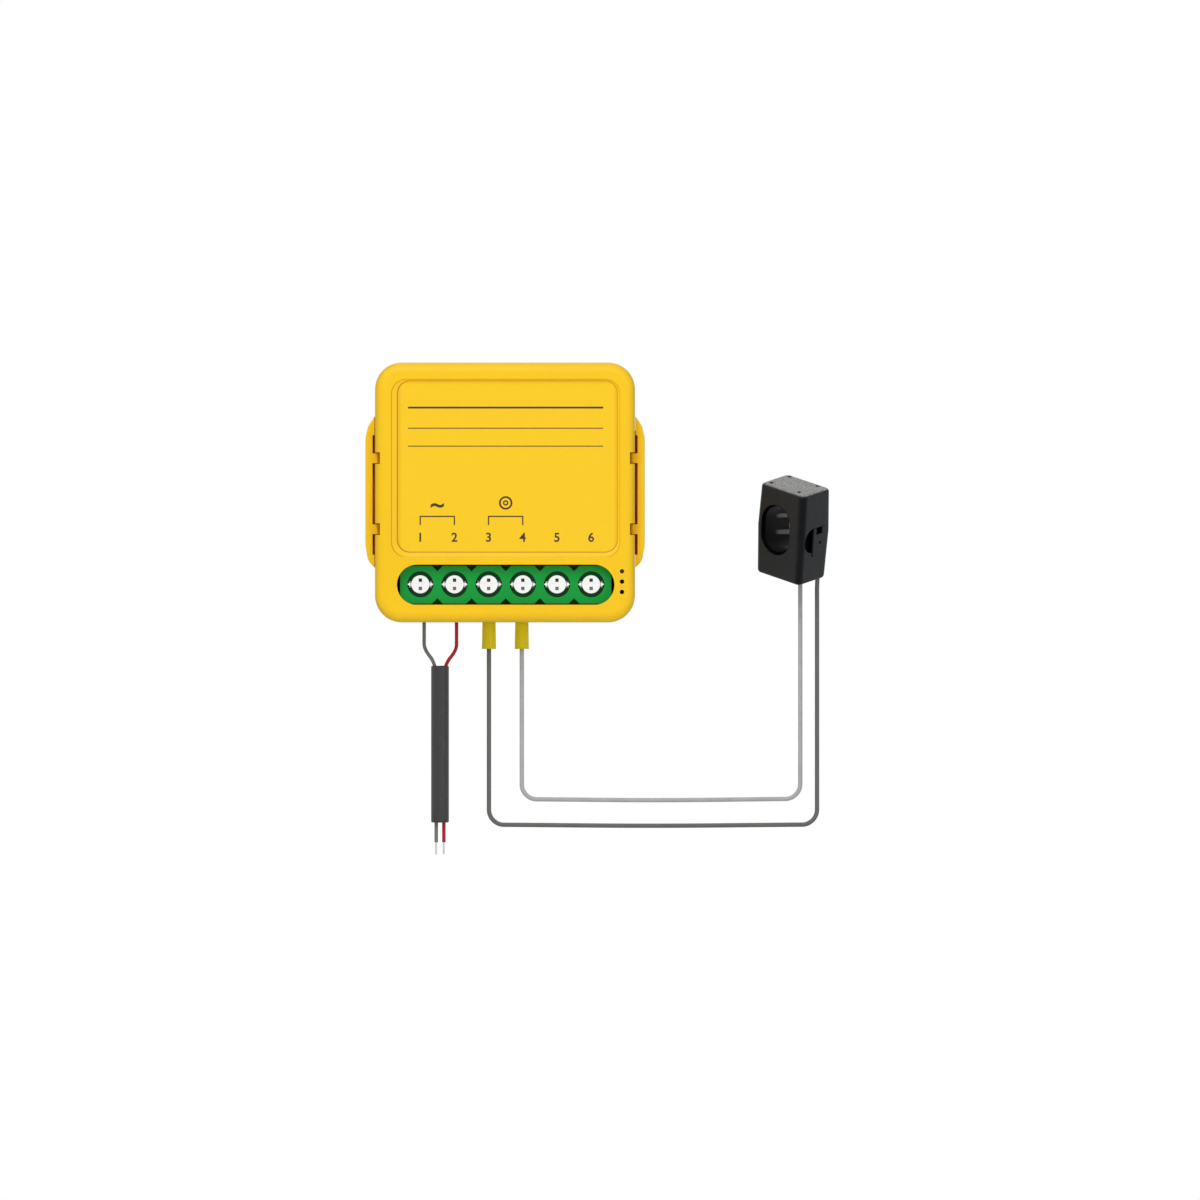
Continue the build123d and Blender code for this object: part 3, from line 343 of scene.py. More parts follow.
sheet = bmesh.new()
for way in range(1, ways + 1):
    print_words(sheet, str(way), way_x(way), number_level, number_height)
for first, last in ((1, 2), (3, 4)):
    left, right = way_x(first) - bracket_line / 2, way_x(last) + bracket_line / 2
    print_bar(sheet, left, right, bracket_top - bracket_line, bracket_top)
    print_bar(sheet, left, left + bracket_line, bracket_bottom, bracket_top - bracket_line)
    print_bar(sheet, right - bracket_line, right, bracket_bottom, bracket_top - bracket_line)
print_words(sheet, "~", (way_x(1) + way_x(2)) / 2, sign_level - wave_drop, wave_size)
for radius, line in sign_rings:
    print_ring(sheet, (way_x(3) + way_x(4)) / 2, sign_level, radius, line)
for level, line in ruled_lines:
    print_bar(sheet, ruled_left, ruled_right, level - line / 2, level + line / 2)
bmesh.ops.recalc_face_normals(sheet, faces=sheet.faces)
label_print = bpy.data.meshes.new("label_print")
sheet.to_mesh(label_print)
sheet.free()

ink = Finish("label_ink")
ink_grain = ink.noise(9000, 2)
label_ink = ink.wear(
    Base_Color=ink.blend(ink_grain, rgb(30, 24, 14), rgb(52, 42, 22)),
    Roughness=0.45 + ink_grain * 0.15,
    Normal=ink.relief(ink_grain, 0.000004))
fit_piece("label_print", label_print, label_ink)


# Terminal housing: one green glass-filled nylon moulding dropped in from behind the window, with a
# well for each screw and a V notch between the ways. It is glossier than the casing, the glass
# shows as short pale flecks, and painted shade darkens it deep in the wells and along its edges
# under the window.

screw_level, window_level = -0.0205, -0.0206
well_outer, well_inner = 0.0031, 0.0029
shade_start, shade_end = 0.0003, 0.0024
lip_inner, lip_outer = 0.00402, 0.00428
strip_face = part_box("terminal_housing")[0].y


def from_screw(finish):
    """Distance from the axis of the nearest screw."""
    across = (finish.x - (first_way - way_pitch / 2)) % way_pitch - way_pitch / 2
    up = finish.z - screw_level
    return (across * across + up * up) ** 0.5


green = moulded("terminal_green", 4, 152, 56, 0.24, 5200, 0.000008, 0.2)
flecks = green.between(0.62, 0.74, green.noise(2600, 2, 0.4, at=green.stretched(1, 1, 3.5)))
well_rim = green.between(well_outer, well_inner, from_screw(green))
# Painted shade: darker deeper in the housing, most in the wells, and at the strip's edges under the window's
# lip
deep_shade = green.between(strip_face + shade_start, strip_face + shade_end, green.y)
lip_shade = green.between(lip_inner, lip_outer, abs(green.z - window_level))
shaded = green.sum("MAXIMUM", deep_shade * (0.6 + well_rim * 0.2), lip_shade * 0.7)
flecked = green.blend(flecks * 0.25, green.colour, rgb(70, 185, 105))
terminal_green = green.wear(
    Base_Color=green.blend(shaded, flecked, rgb(2, 40, 14)),
    Roughness=green.roughness + flecks * 0.1,
    Normal=green.relief(green.height, green.depth))
dress(terminal_green, "terminal_housing")


# Terminal screws: turned steel, nickel plated, six alike. The head has the fine rings of the lathe
# round its own axis and a crossed driver recess, whose walls carry painted shade, darker in the upper pit
# than in the lower.

ring_width = 0.00009
pit_reach, pit_start, pit_end = 0.0017, 0.00045, 0.0008
head_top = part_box("terminal_screw_1")[0].y

plate = Finish("screw_nickel", Metallic=1.0)
from_axis = from_screw(plate)
turned = plate.sine(from_axis * (2 * math.pi / ring_width)) * 0.5 + 0.5
tarnish = plate.noise(1500, 5, 0.65)
in_pits = plate.between(head_top + pit_start, head_top + pit_end, plate.y) * (from_axis < pit_reach)
# Painted shade in the driver recess, darker in the upper pit than in the lower as if lit from above
pit_shade = plate.blend(plate.z > screw_level, rgb(150, 150, 148), rgb(84, 84, 82))
nickel = plate.blend(tarnish, rgb(252, 252, 250), rgb(228, 229, 226))
screw_nickel = plate.wear(
    Base_Color=plate.blend(in_pits, nickel, pit_shade),
    Roughness=0.2 + tarnish * 0.14 + in_pits * 0.25,
    Normal=plate.relief(turned * 0.7 + tarnish * 0.3, 0.000005))
dress(screw_nickel, *(f"terminal_screw_{way}" for way in range(1, ways + 1)))


# Rising cages and current bars: the cages are folded from steel strip and nickel plated, and draw up
# under the bars as their screws turn. The bars are bent brass, tinned where they meet the board.

def rolled(name, light, dark, roughness, along, depth):
    """Strip metal: fine draw lines along one way and soft stains."""
    finish = Finish(name, Metallic=1.0)
    lines = finish.noise(5200, 2, 0.5, at=finish.stretched(*along))
    stain = finish.noise(420, 4, 0.6)
    finish.colour = finish.blend(stain, rgb(*light), rgb(*dark))
    finish.roughness = roughness + stain * 0.15 + lines * 0.1
    finish.height = lines
    finish.depth = depth
    return finish


cage = rolled("cage_nickel", (250, 251, 250), (226, 228, 227), 0.28, (1, 0.05, 1), 0.000008)
dress(cage.plain(), *(f"terminal_cage_{way}" for way in range(1, ways + 1)))

tin_front, tin_back = -0.0085, -0.0075
bar = rolled("bar_brass", (222, 182, 96), (184, 140, 62), 0.25, (1, 1, 0.05), 0.000006)
tinned_foot = bar.between(tin_front, tin_back, bar.y)
bar_brass = bar.wear(
    Base_Color=bar.blend(tinned_foot, bar.colour, rgb(205, 207, 205)),
    Roughness=bar.roughness + tinned_foot * 0.1,
    Normal=bar.relief(bar.height, bar.depth))
dress(bar_brass, "current_bars")


# Boards: glass-epoxy laminate under green lacquer, with the copper's tracks showing as lighter, raised
# paths and the drilled pads tinned. The main board lies on the tray's bosses; the radio's small
# board stands on it and is darker.

def laminate(name, bare, over_copper):
    """Lacquered board: tracks and pads on its faces, the bare glass laminate on its cut edge."""
    finish = Finish(name)
    paths = finish.node("ShaderNodeTexBrick", {"offset": 0.37, "squash": 0.6, "squash_frequency": 3}, {
        "Vector": finish.node("ShaderNodeCombineXYZ", inputs={"X": finish.x, "Y": finish.z}), "Scale": 300.0,
        "Mortar Size": 0.035, "Brick Width": 0.9, "Row Height": 0.42}, output="Fac")
    tracks = finish.between(0.2, 0.8, paths)
    pads = finish.between(0.24, 0.18, finish.cells(420))
    weave = finish.sine(finish.x * 9000) * finish.sine(finish.z * 9000) * 0.5 + 0.5
    on_face = finish.between(0.6, 0.9, abs(finish.facing_wall()))
    lacquer = finish.blend(tracks, rgb(*bare), rgb(*over_copper))
    coated = finish.blend(pads * 0.9, lacquer, rgb(205, 206, 200))
    coated = finish.blend(weave * 0.1, coated, rgb(*over_copper))
    return finish.wear(
        Base_Color=finish.blend(on_face, rgb(176, 168, 112), coated),
        Roughness=0.32 + weave * 0.08 + (1 - on_face) * 0.35,
        Metallic=pads * on_face * 0.8,
        Normal=finish.relief((tracks * 0.5 + pads + weave * 0.08) * on_face, 0.00003))


dress(laminate("main_board_lacquer", (18, 82, 44), (34, 118, 62)), "main_board")
dress(laminate("radio_board_lacquer", (20, 24, 28), (40, 46, 50)), "wifi_board")


# Chips, bridge and diode: black filled epoxy moulded round a lead frame, matt all over, with tinned
# legs that lie on the board. The legs are told from the body by how near the board they are.

board_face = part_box("main_board")[0].y


def epoxy(name, foot):
    """Chip body with a dotted matt texture and tinned legs up to the given height over the board."""
    finish = Finish(name)
    legs = finish.y > board_face - foot
    sand = finish.noise(7000, 2, 0.7)
    marks = finish.between(0.45, 0.6, finish.noise(1100, 3))
    black = finish.blend(sand * 0.5 + marks * 0.2, rgb(24, 25, 26), rgb(52, 53, 54))
    return finish.wear(
        Base_Color=finish.blend(legs, black, rgb(206, 208, 206)),
        Metallic=legs * 0.95,
        Roughness=0.62 - legs * 0.3 + sand * 0.12,
        Normal=finish.relief(sand, 0.000012))


dress(epoxy("chip_black", 0.00027), "metering_chip", "power_chip", "bridge_rectifier", "voltage_regulator")
dress(epoxy("diode_black", 0.00012), "freewheel_diode")


# Electrolytic cans: drawn aluminium in a shrunk plastic sleeve, dark with a broad pale stripe on the
# negative side. Their tops are bare metal.

stripe_waves, stripe_start = 430, 1.1
can = Finish("can_sleeve")
lid = can.between(0.8, 0.95, 0 - can.facing_wall())
shrink = can.noise(600, 3, at=can.stretched(1, 0.15, 1))
stripe = can.between(0.55, 0.62, can.sine(can.x * stripe_waves + stripe_start) * 0.5 + 0.5)
sleeve = can.blend(shrink, rgb(26, 34, 46), rgb(38, 48, 64))
sleeve = can.blend(stripe * 0.85, sleeve, rgb(170, 176, 182))
can_sleeve = can.wear(
    Base_Color=can.blend(lid, sleeve, rgb(214, 216, 218)),
    Metallic=lid * 0.95,
    Roughness=0.34 + shrink * 0.12 - lid * 0.04,
    Normal=can.relief(shrink, 0.00002))
dress(can_sleeve, "bulk_capacitors", "filter_capacitor")


# Shield and crystal: pressed tinplate, the shield soldered over the radio and the crystal's can
# welded round its foot. Both are dull bright, with soft blotches from the tin bath.

tin = rolled("shield_tin", (214, 217, 216), (172, 176, 177), 0.3, (1, 1, 0.2), 0.000008)
spangle = tin.cells(900)
shield_tin = tin.wear(
    Base_Color=tin.blend(spangle * 0.35, tin.colour, rgb(150, 154, 156)),
    Roughness=tin.roughness,
    Normal=tin.relief(tin.height * 0.5 + spangle * 0.5, tin.depth))
dress(shield_tin, "wifi_shield", "clock_crystal")


# Power inductor: a ferrite drum wound with enamelled copper between its two flanges. The copper is
# told from the ferrite by its height, and its turns are drawn as fine rings.

flange, turn_width = 0.00095, 0.0003
drum_low, drum_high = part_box("power_inductor")
drum = Finish("inductor_drum")
wound = (drum.y > drum_low.y + flange) * (drum.y < drum_high.y - flange)
turns = drum.sine(drum.y * (2 * math.pi / turn_width)) * 0.5 + 0.5
sinter = drum.noise(5200, 3, 0.7)
ferrite = drum.blend(sinter, rgb(44, 44, 46), rgb(76, 76, 78))
copper = drum.blend(turns, rgb(110, 52, 22), rgb(196, 110, 52))
inductor_drum = drum.wear(
    Base_Color=drum.blend(wound, ferrite, copper),
    Metallic=wound * 0.6,
    Roughness=0.7 - wound * 0.4 + sinter * 0.1,
    Normal=drum.relief(turns * wound + sinter * (1 - wound) * 0.2, 0.00006))
dress(inductor_drum, "power_inductor")


# Fuse resistor, burden resistors and varistor: a lacquered ceramic rod with plain colour bands, three
# thick-film chips with tinned ends, and a disc dipped in blue epoxy that sets with a faint orange peel.

rod_low, rod_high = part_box("fuse_resistor")
fuse = Finish("fuse_lacquer")
along = (fuse.z - rod_low.z) / (rod_high.z - rod_low.z)
buff, brown = rgb(196, 160, 110), rgb(110, 60, 26)
black, blue_black = rgb(20, 20, 20), rgb(20, 20, 22)
bands = fuse.node("ShaderNodeValToRGB", {"stops": (
    (0.0, buff), (0.3, buff), (0.32, brown), (0.38, brown), (0.4, buff), (0.46, black), (0.52, black),
    (0.54, buff), (0.6, blue_black), (0.66, blue_black), (0.68, buff))}, {"Fac": along})
glaze = fuse.noise(1400, 3)
fuse_lacquer = fuse.wear(
    Base_Color=fuse.blend(glaze * 0.2, bands, rgb(226, 196, 150)),
    Roughness=0.3 + glaze * 0.12,
    Normal=fuse.relief(glaze, 0.00001))
dress(fuse_lacquer, "fuse_resistor")

film_end, tin_end = 0.00115, 0.0013
burden_low, burden_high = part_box("burden_resistors")
burden_middle = (burden_low.z + burden_high.z) / 2
burden = Finish("burden_film")
ends = burden.between(film_end, tin_end, abs(burden.z - burden_middle))
film = burden.noise(4200, 3)
thick_film = burden.blend(film, rgb(22, 22, 24), rgb(44, 44, 48))
burden_film = burden.wear(
    Base_Color=burden.blend(ends, thick_film, rgb(208, 210, 208)),
    Metallic=ends * 0.9,
    Roughness=0.4 + film * 0.12,
    Normal=burden.relief(film, 0.000008))
dress(burden_film, "burden_resistors")

dress(moulded("varistor_blue", 28, 84, 176, 0.25, 1500, 0.00003).plain(), "varistor")


# Pairing switch, status light and light pipe, behind the pinholes: a black key switch with a dark
# plunger in the middle hole, and a smoke-tinted rod that leads the light out through the upper one.

dress(moulded("switch_plastic", 40, 40, 42, 0.4, 4200, 0.00001).plain(), "pairing_switch")
dress(moulded("plunger_plastic", 58, 56, 52, 0.4, 4200, 0.000008).plain(), "switch_plunger")

clear = Finish("clear_pipe", Transmission_Weight=0.5, IOR=1.49)
draw_lines = clear.noise(2600, 2, at=clear.stretched(1, 0.06, 1))
clear_pipe = clear.wear(
    Base_Color=clear.blend(draw_lines, rgb(40, 42, 44), rgb(24, 26, 28)),
    Roughness=0.06 + draw_lines * 0.08,
    Normal=clear.relief(draw_lines, 0.000004))
dress(clear_pipe, "light_pipe", "status_led")


# Mains tail: two thin PVC-covered cores that leave the first two ways, bend together and run down
# inside a short black sheath. Below it their ends show, cut, stripped and tinned.

def cord_curve(name, route, diameter):
    """A free cord, drawn as one smooth line through its route's control points."""
    line = bpy.data.curves.new(name, "CURVE")
    line.dimensions = "3D"
    line.bevel_depth = diameter / 2
    line.bevel_resolution = 5
    line.resolution_u = 10
    line.use_fill_caps = True
    run = line.splines.new("NURBS")
    run.points.add(len(route) - 1)
    for point, place in zip(run.points, route):
        point.co = (*place, 1.0)
    run.order_u = 3
    run.use_endpoint_u = True
    return line


def extruded(name, light, dark, gloss):
    """Soft PVC drawn through a die: faint clouds in the colour, a fine skin and a low sheen."""
    finish = Finish(name, Specular_IOR_Level=0.3)
    clouds = finish.noise(240, 4, 0.6)
    skin = finish.noise(5200, 2, 0.6)
    return finish.wear(
        Base_Color=finish.blend(clouds, rgb(*dark), rgb(*light)),
        Roughness=gloss + clouds * 0.12 + skin * 0.08,
        Normal=finish.relief(skin * 0.6 + clouds * 0.4, 0.000012))


def lay_cord(name, route, diameter, material):
    cord = bpy.data.objects.new(f"{name}_cord", cord_curve(name, route, diameter))
    cord.data.materials.append(material)
    bpy.context.scene.collection.objects.link(cord)
    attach(cord, "monitor")
    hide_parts(name)


class Weaver(Recipe):
    """A Geometry Nodes tree with named sizes, whose result is kept as a plain mesh."""

    def __init__(self, name, sizes):
        self.group = bpy.data.node_groups.new(name, "GeometryNodeTree")
        super().__init__(self.group)
        self.sizes = sizes
        self.group.interface.new_socket("Made", in_out="OUTPUT", socket_type="NodeSocketGeometry")
        self.sockets = {}
        for size, value in sizes.items():
            kind = "NodeSocketInt" if isinstance(value, int) else "NodeSocketFloat"
            self.sockets[size] = self.group.interface.new_socket(size, in_out="INPUT", socket_type=kind)
        self.entry = self.tree.nodes.new("NodeGroupInput")

    def size(self, name):
        return Value(self, self.entry.outputs[name])

    def join(self, *parts):
        joined = self.tree.nodes.new("GeometryNodeJoinGeometry")
        for part in parts:
            self.tree.links.new(part.socket, joined.inputs[0])
        return Value(self, joined.outputs[0])

    def mesh(self, name, made, material, place=None):
        """Ends the tree, runs it once on an empty mesh, and moves the result to its place."""
        real = self.node("GeometryNodeRealizeInstances", inputs={"Geometry": made})
        coated = self.node("GeometryNodeSetMaterial", inputs={"Geometry": real, "Material": material})
        leave = self.tree.nodes.new("NodeGroupOutput")
        self.tree.links.new(coated.socket, leave.inputs[0])
        holder = bpy.data.objects.new(name, bpy.data.meshes.new(name))
        bpy.context.scene.collection.objects.link(holder)
        modifier = holder.modifiers.new("made", "NODES")
        modifier.node_group = self.group
        for size, value in self.sizes.items():
            modifier[self.sockets[size].identifier] = value
        bpy.context.view_layer.update()
        result = bpy.data.meshes.new_from_object(holder.evaluated_get(bpy.context.evaluated_depsgraph_get()))
        holder.modifiers.remove(modifier)
        bpy.data.objects.remove(holder)
        if place:
            result.transform(place)
        return result


core_diameter = 0.0008
grey_route = [(-0.01815, -0.01135, -0.0262), (-0.01815, -0.01135, -0.0326), (-0.01815, -0.01135, -0.035),
              (-0.0156, -0.01135, -0.0382), (-0.01545, -0.01135, -0.043), (-0.01545, -0.01135, -0.0782)]
red_route = [(-0.0109, -0.01135, -0.0262), (-0.0109, -0.01135, -0.0328), (-0.0109, -0.01135, -0.0352),
             (-0.0136, -0.01135, -0.0385), (-0.01374, -0.01135, -0.0432), (-0.01374, -0.01135, -0.0782)]
strand_top, strand_foot = -0.0185, -0.0809

tinned = Finish("strand_tinned", Metallic=1.0)
solder = tinned.noise(3200, 4, 0.6)
strand_tinned = tinned.wear(
    Base_Color=tinned.blend(solder, rgb(228, 229, 226), rgb(190, 190, 186)),
    Roughness=0.22 + solder * 0.2,
    Normal=tinned.relief(solder, 0.00001))

twist = Weaver("strand_twist", {"Length": 0.0027, "Strand": 0.000165, "Turns": 0.6, "Around": 6})
spine = twist.node("GeometryNodeCurvePrimitiveLine", inputs={
    "End": twist.node("ShaderNodeCombineXYZ", inputs={"Z": twist.size("Length")})})
stepped = twist.node("GeometryNodeResampleCurve", inputs={"Curve": spine, "Count": 14})
copies = twist.node("GeometryNodeDuplicateElements", {"domain": "SPLINE"}, {
    "Geometry": stepped, "Amount": twist.size("Around")})
turn = (copies.other("Duplicate Index") * (2 * math.pi) / twist.size("Around")
        + twist.node("GeometryNodeSplineParameter") * (twist.size("Turns") * (2 * math.pi)))
wound_round = twist.node("GeometryNodeSetPosition", inputs={"Geometry": copies, "Offset": twist.node(
    "ShaderNodeCombineXYZ", inputs={"X": twist.sum("COSINE", turn) * twist.size("Strand"),
                                    "Y": twist.sine(turn) * twist.size("Strand")})})
wire = twist.node("GeometryNodeCurvePrimitiveCircle", inputs={
    "Resolution": 8, "Radius": twist.size("Strand") * 0.5})
strands = twist.node("GeometryNodeCurveToMesh", inputs={
    "Curve": twist.join(wound_round, stepped), "Profile Curve": wire, "Fill Caps": True})
one_end = twist.mesh("strand_end", strands, strand_tinned)


def stripped_ends(name, top, bottom):
    """The bare strands of a core: the short held end in its terminal and the cut end below the sheath."""
    both = bmesh.new()
    for low, high in ((top, strand_top), ((*bottom[:2], strand_foot), bottom[2])):
        start = len(both.verts)
        both.from_mesh(one_end)
        both.verts.ensure_lookup_table()
        stretch = Matrix.Diagonal((1, 1, (high - low[2]) / twist.sizes["Length"], 1))
        bmesh.ops.transform(both, matrix=Matrix.Translation(low) @ stretch, verts=both.verts[start:])
    ends_mesh = bpy.data.meshes.new(name)
    both.to_mesh(ends_mesh)
    both.free()
    return fit_piece(f"{name}_twist", ends_mesh, strand_tinned, [name])


grey_ends = stripped_ends("strand_ends_grey", grey_route[0], grey_route[-1])
red_ends = stripped_ends("strand_ends_red", red_route[0], red_route[-1])

sheath_x, sheath_y = -0.0146, -0.01135
sheath_top, sheath_bottom = -0.0387, -0.0738
sheath_radius, sheath_edge = 0.002, 0.00035


def sheath_tube(sides=48, runs=12, edge_steps=6):
    """The black sheath: a drawn tube with softened ends, its end faces a little hollow round the cores."""
    bend = [(sheath_radius - sheath_edge * (1 - math.cos(turn)), sheath_edge * (1 - math.sin(turn)))
            for turn in (math.pi / 2 * step / edge_steps for step in range(edge_steps + 1))]
    hollow = [(0.0001, 0.00012), (sheath_radius * 0.55, 0.0001), (sheath_radius * 0.72, 0.0)]
    profile = hollow + bend[::-1]
    straight = sheath_top - sheath_bottom - 2 * sheath_edge
    outline = [(reach, sheath_bottom + lift) for reach, lift in profile]
    outline += [(sheath_radius, sheath_bottom + sheath_edge + straight * step / runs)
                for step in range(1, runs)]
    outline += [(reach, sheath_top - lift) for reach, lift in profile[::-1]]
    tube = bmesh.new()
    turns_round = [2 * math.pi * side / sides for side in range(sides)]
    loops = [[tube.verts.new((sheath_x + reach * math.cos(turn), sheath_y + reach * math.sin(turn), height))
              for turn in turns_round] for reach, height in outline]
    for lower, upper in zip(loops, loops[1:]):
        for side in range(sides):
            after = (side + 1) % sides
            tube.faces.new((lower[side], lower[after], upper[after], upper[side]))
    tube.faces.new(loops[0][::-1])
    tube.faces.new(loops[-1])
    bmesh.ops.recalc_face_normals(tube, faces=tube.faces)
    mesh = bpy.data.meshes.new("cable_sheath_tube")
    tube.to_mesh(mesh)
    tube.free()
    mesh.shade_smooth()
    return mesh


sheath = Finish("sheath_pvc", Specular_IOR_Level=0.3)
die_lines = sheath.noise(4200, 2, at=sheath.stretched(1, 1, 0.03))
chalk = sheath.between(0.55, 0.75, sheath.noise(700, 5, 0.7, at=sheath.stretched(1, 1, 0.4)))
black_pvc = sheath.blend(die_lines, rgb(44, 44, 46), rgb(60, 60, 62))
sheath_pvc = sheath.wear(
    Base_Color=sheath.blend(chalk * 0.3, black_pvc, rgb(88, 88, 90)),
    Roughness=0.4 + die_lines * 0.12 + chalk * 0.1,
    Normal=sheath.relief(die_lines, 0.00002))
cable_sheath = fit_piece("cable_sheath_tube", sheath_tube(), sheath_pvc, ["cable_sheath"])

grey_pvc = extruded("core_grey_pvc", (118, 122, 118), (92, 96, 92), 0.38)
lay_cord("mains_core_grey", grey_route, core_diameter, grey_pvc)
red_pvc = extruded("core_red_pvc", (184, 2, 24), (148, 0, 16), 0.34)
lay_cord("mains_core_red", red_route, core_diameter, red_pvc)


# Ferrules: a tinned copper tube with a collar, crimped on the lead, in a soft olive-yellow insulating
# sleeve that widens at its mouth and is darker at its waist and lip. One sits in the third way and
# one in the fourth.

waist_length, lip_length, tooth_pitch = 0.0012, 0.0006, 0.0009

olive = moulded("ferrule_olive", 214, 198, 0, 0.34, 3600, 0.00001, 0.2)
sleeve_low, sleeve_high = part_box("ferrule_sleeve_dark")
waist = olive.between(sleeve_high.z - waist_length, sleeve_high.z, olive.z)
sleeve_lip = olive.between(sleeve_low.z + lip_length, sleeve_low.z, olive.z)
ferrule_olive = olive.wear(
    Base_Color=olive.blend(waist * 0.3 + sleeve_lip * 0.25, olive.colour, rgb(150, 140, 0)),
    Roughness=olive.roughness + sleeve_lip * 0.1,
    Normal=olive.relief(olive.height, olive.depth))
dress(ferrule_olive, "ferrule_sleeve_dark", "ferrule_sleeve_light")

crimp = Finish("ferrule_tin", Metallic=1.0)
teeth = crimp.between(0.3, 0.8, crimp.sine(crimp.z * (2 * math.pi / tooth_pitch)) * 0.5 + 0.5)
bath = crimp.noise(2600, 4)
ferrule_tin = crimp.wear(
    Base_Color=crimp.blend(bath, rgb(226, 228, 226), rgb(188, 190, 190)),
    Roughness=0.25 + bath * 0.15,
    Normal=crimp.relief(teeth + bath * 0.2, 0.00004))
dress(ferrule_tin, "ferrule_pin_dark", "ferrule_pin_light")


# Clamp leads: two thin single wires, dark grey and light grey, that drop from the ferrules, turn
# square across and rise again into the clamp's cap. Their corners are bent by hand and stay soft.

lead_diameter = 0.001
dark_route = [(-0.00365, -0.0111, -0.0285), (-0.00365, -0.0111, -0.0695), (-0.00365, -0.0111, -0.0723),
              (-0.00165, -0.0111, -0.0743), (0.0012, -0.011, -0.0743), (0.033, -0.0104, -0.0746),
              (0.065, -0.0097, -0.0743), (0.0678, -0.0096, -0.0743), (0.0698, -0.0096, -0.0723),
              (0.0698, -0.0096, -0.0695), (0.0698, -0.0095, -0.0228), (0.0698, -0.0095, -0.0208),
              (0.0699, -0.01018, -0.01892)]
light_route = [(0.0037, -0.0111, -0.0285), (0.0037, -0.0111, -0.0638), (0.0037, -0.0111, -0.0666),
               (0.0057, -0.0111, -0.0686), (0.0085, -0.0109, -0.0686), (0.035, -0.009, -0.0689),
               (0.0613, -0.0068, -0.0686), (0.0641, -0.0066, -0.0686), (0.0661, -0.0066, -0.0666),
               (0.0661, -0.0066, -0.0638), (0.0661, -0.0064, -0.0215), (0.0661, -0.00642, -0.0195),
               (0.06619, -0.0071, -0.01761)]

dark_pvc = extruded("lead_dark_pvc", (102, 105, 100), (84, 87, 84), 0.4)
lay_cord("clamp_lead_dark", dark_route, lead_diameter, dark_pvc)
light_pvc = extruded("lead_light_pvc", (182, 184, 184), (150, 153, 153), 0.4)
lay_cord("clamp_lead_light", light_route, lead_diameter, light_pvc)


# Current clamp: a base and a hinged jaw of black flame-retardant nylon, closed by a sprung tongue with
# two hooks, with a cap welded under the base where the leads go in. Grained, with smoother patches,
# with painted shade in its bore, pocket and dimple and on one edge, painted glints in the bore, and a
# top painted paler as if lit from above.

clamp_place = (Matrix.Translation((0.0644, -0.013, -0.00835)) @ Matrix.Rotation(math.radians(2.8), 4, "Y")
               @ Matrix.Rotation(math.radians(20), 4, "X") @ Matrix.Rotation(math.radians(-41), 4, "Z"))
clamp_home = clamp_place.inverted()
clamp_half_height = 0.0106
crown_start, crown_end = 0.0003, 0.00005
bore_shift, bore_middle, bore_straight = -0.001, 0.00085, 0.00165
bore_outer, bore_inner = 0.0043, 0.0041
glint_front, glint_back, glint_outer, glint_inner = -0.001, 0.0015, 0.0006, 0.0002
glint_levels, glint_slope = (0.00215, -0.0017), 0.2
pocket_inner, pocket_outer, pocket_half_depth, pocket_half_height = 0.0052, 0.0064, 0.0036, 0.0046
dimple_half_width, dimple_half_depth = 0.0054, 0.0037
dimple_deep, dimple_shallow = 0.0004, 0.00003
edge_start, edge_end, edge_lean = 0.01, 0.01125, 0.066


def own(finish, row):
    """A coordinate in the clamp's own upright frame, from its row of the turning back."""
    across, back, up, shift = clamp_home[row]
    return finish.x * across + finish.y * back + finish.z * up + shift


clamp = moulded("clamp_black", 28, 30, 33, 0.38, 4800, 0.00002, 0.2)
polish = clamp.between(0.5, 0.66, clamp.noise(420, 5, 0.6))
own_x, own_y, own_z = (own(clamp, row) for row in range(3))

# The top is coarser than the sides, and painted paler as if lit from above
crown = clamp.between(clamp_half_height - crown_start, clamp_half_height - crown_end, own_z)
coarse = clamp.between(0.35, 0.7, clamp.noise(2400, 3, 0.7))

# The oblong bore, painted dark as shade, with two painted pale glints of light along its wall on the hinge's
# side
bore_x = own_x - bore_shift
bore_z = clamp.sum("MAXIMUM", abs(own_z - bore_middle) - bore_straight, 0.0)
in_bore = clamp.between(bore_outer, bore_inner, (bore_x * bore_x + bore_z * bore_z) ** 0.5)
along_bore = clamp.between(glint_front, glint_back, own_y) * (own_x < bore_shift)
bore_glints = sum(clamp.between(glint_outer, glint_inner, abs(own_z - height + own_y * glint_slope))
             for height in glint_levels) * along_bore

# Painted shade in the hooks' pocket, in the shallow dimple in the top, and along the edge between front and
# latch
in_pocket = ((own_x > pocket_inner) * (own_x < pocket_outer) * (abs(own_y) < pocket_half_depth)
             * (abs(own_z) < pocket_half_height))
in_dimple = ((own_z > clamp_half_height - dimple_deep) * (own_z < clamp_half_height - dimple_shallow)
             * (abs(own_x) < dimple_half_width) * (abs(own_y) < dimple_half_depth))
shaded_edge = clamp.between(edge_start, edge_end, own_x - own_y + abs(own_z) * edge_lean)
clamp_shade = clamp.sum("MAXIMUM", in_bore, clamp.sum("MAXIMUM", in_pocket, in_dimple))
clamp_shade = clamp.sum("MAXIMUM", clamp_shade, shaded_edge * 0.7)

side_black = clamp.blend(polish * 0.2, clamp.colour, rgb(32, 33, 34))
lit_top_grey = clamp.blend(coarse, rgb(100, 100, 100), rgb(155, 154, 152))
shade_and_glints = clamp.blend(bore_glints, rgb(4, 4, 5), rgb(128, 128, 126))
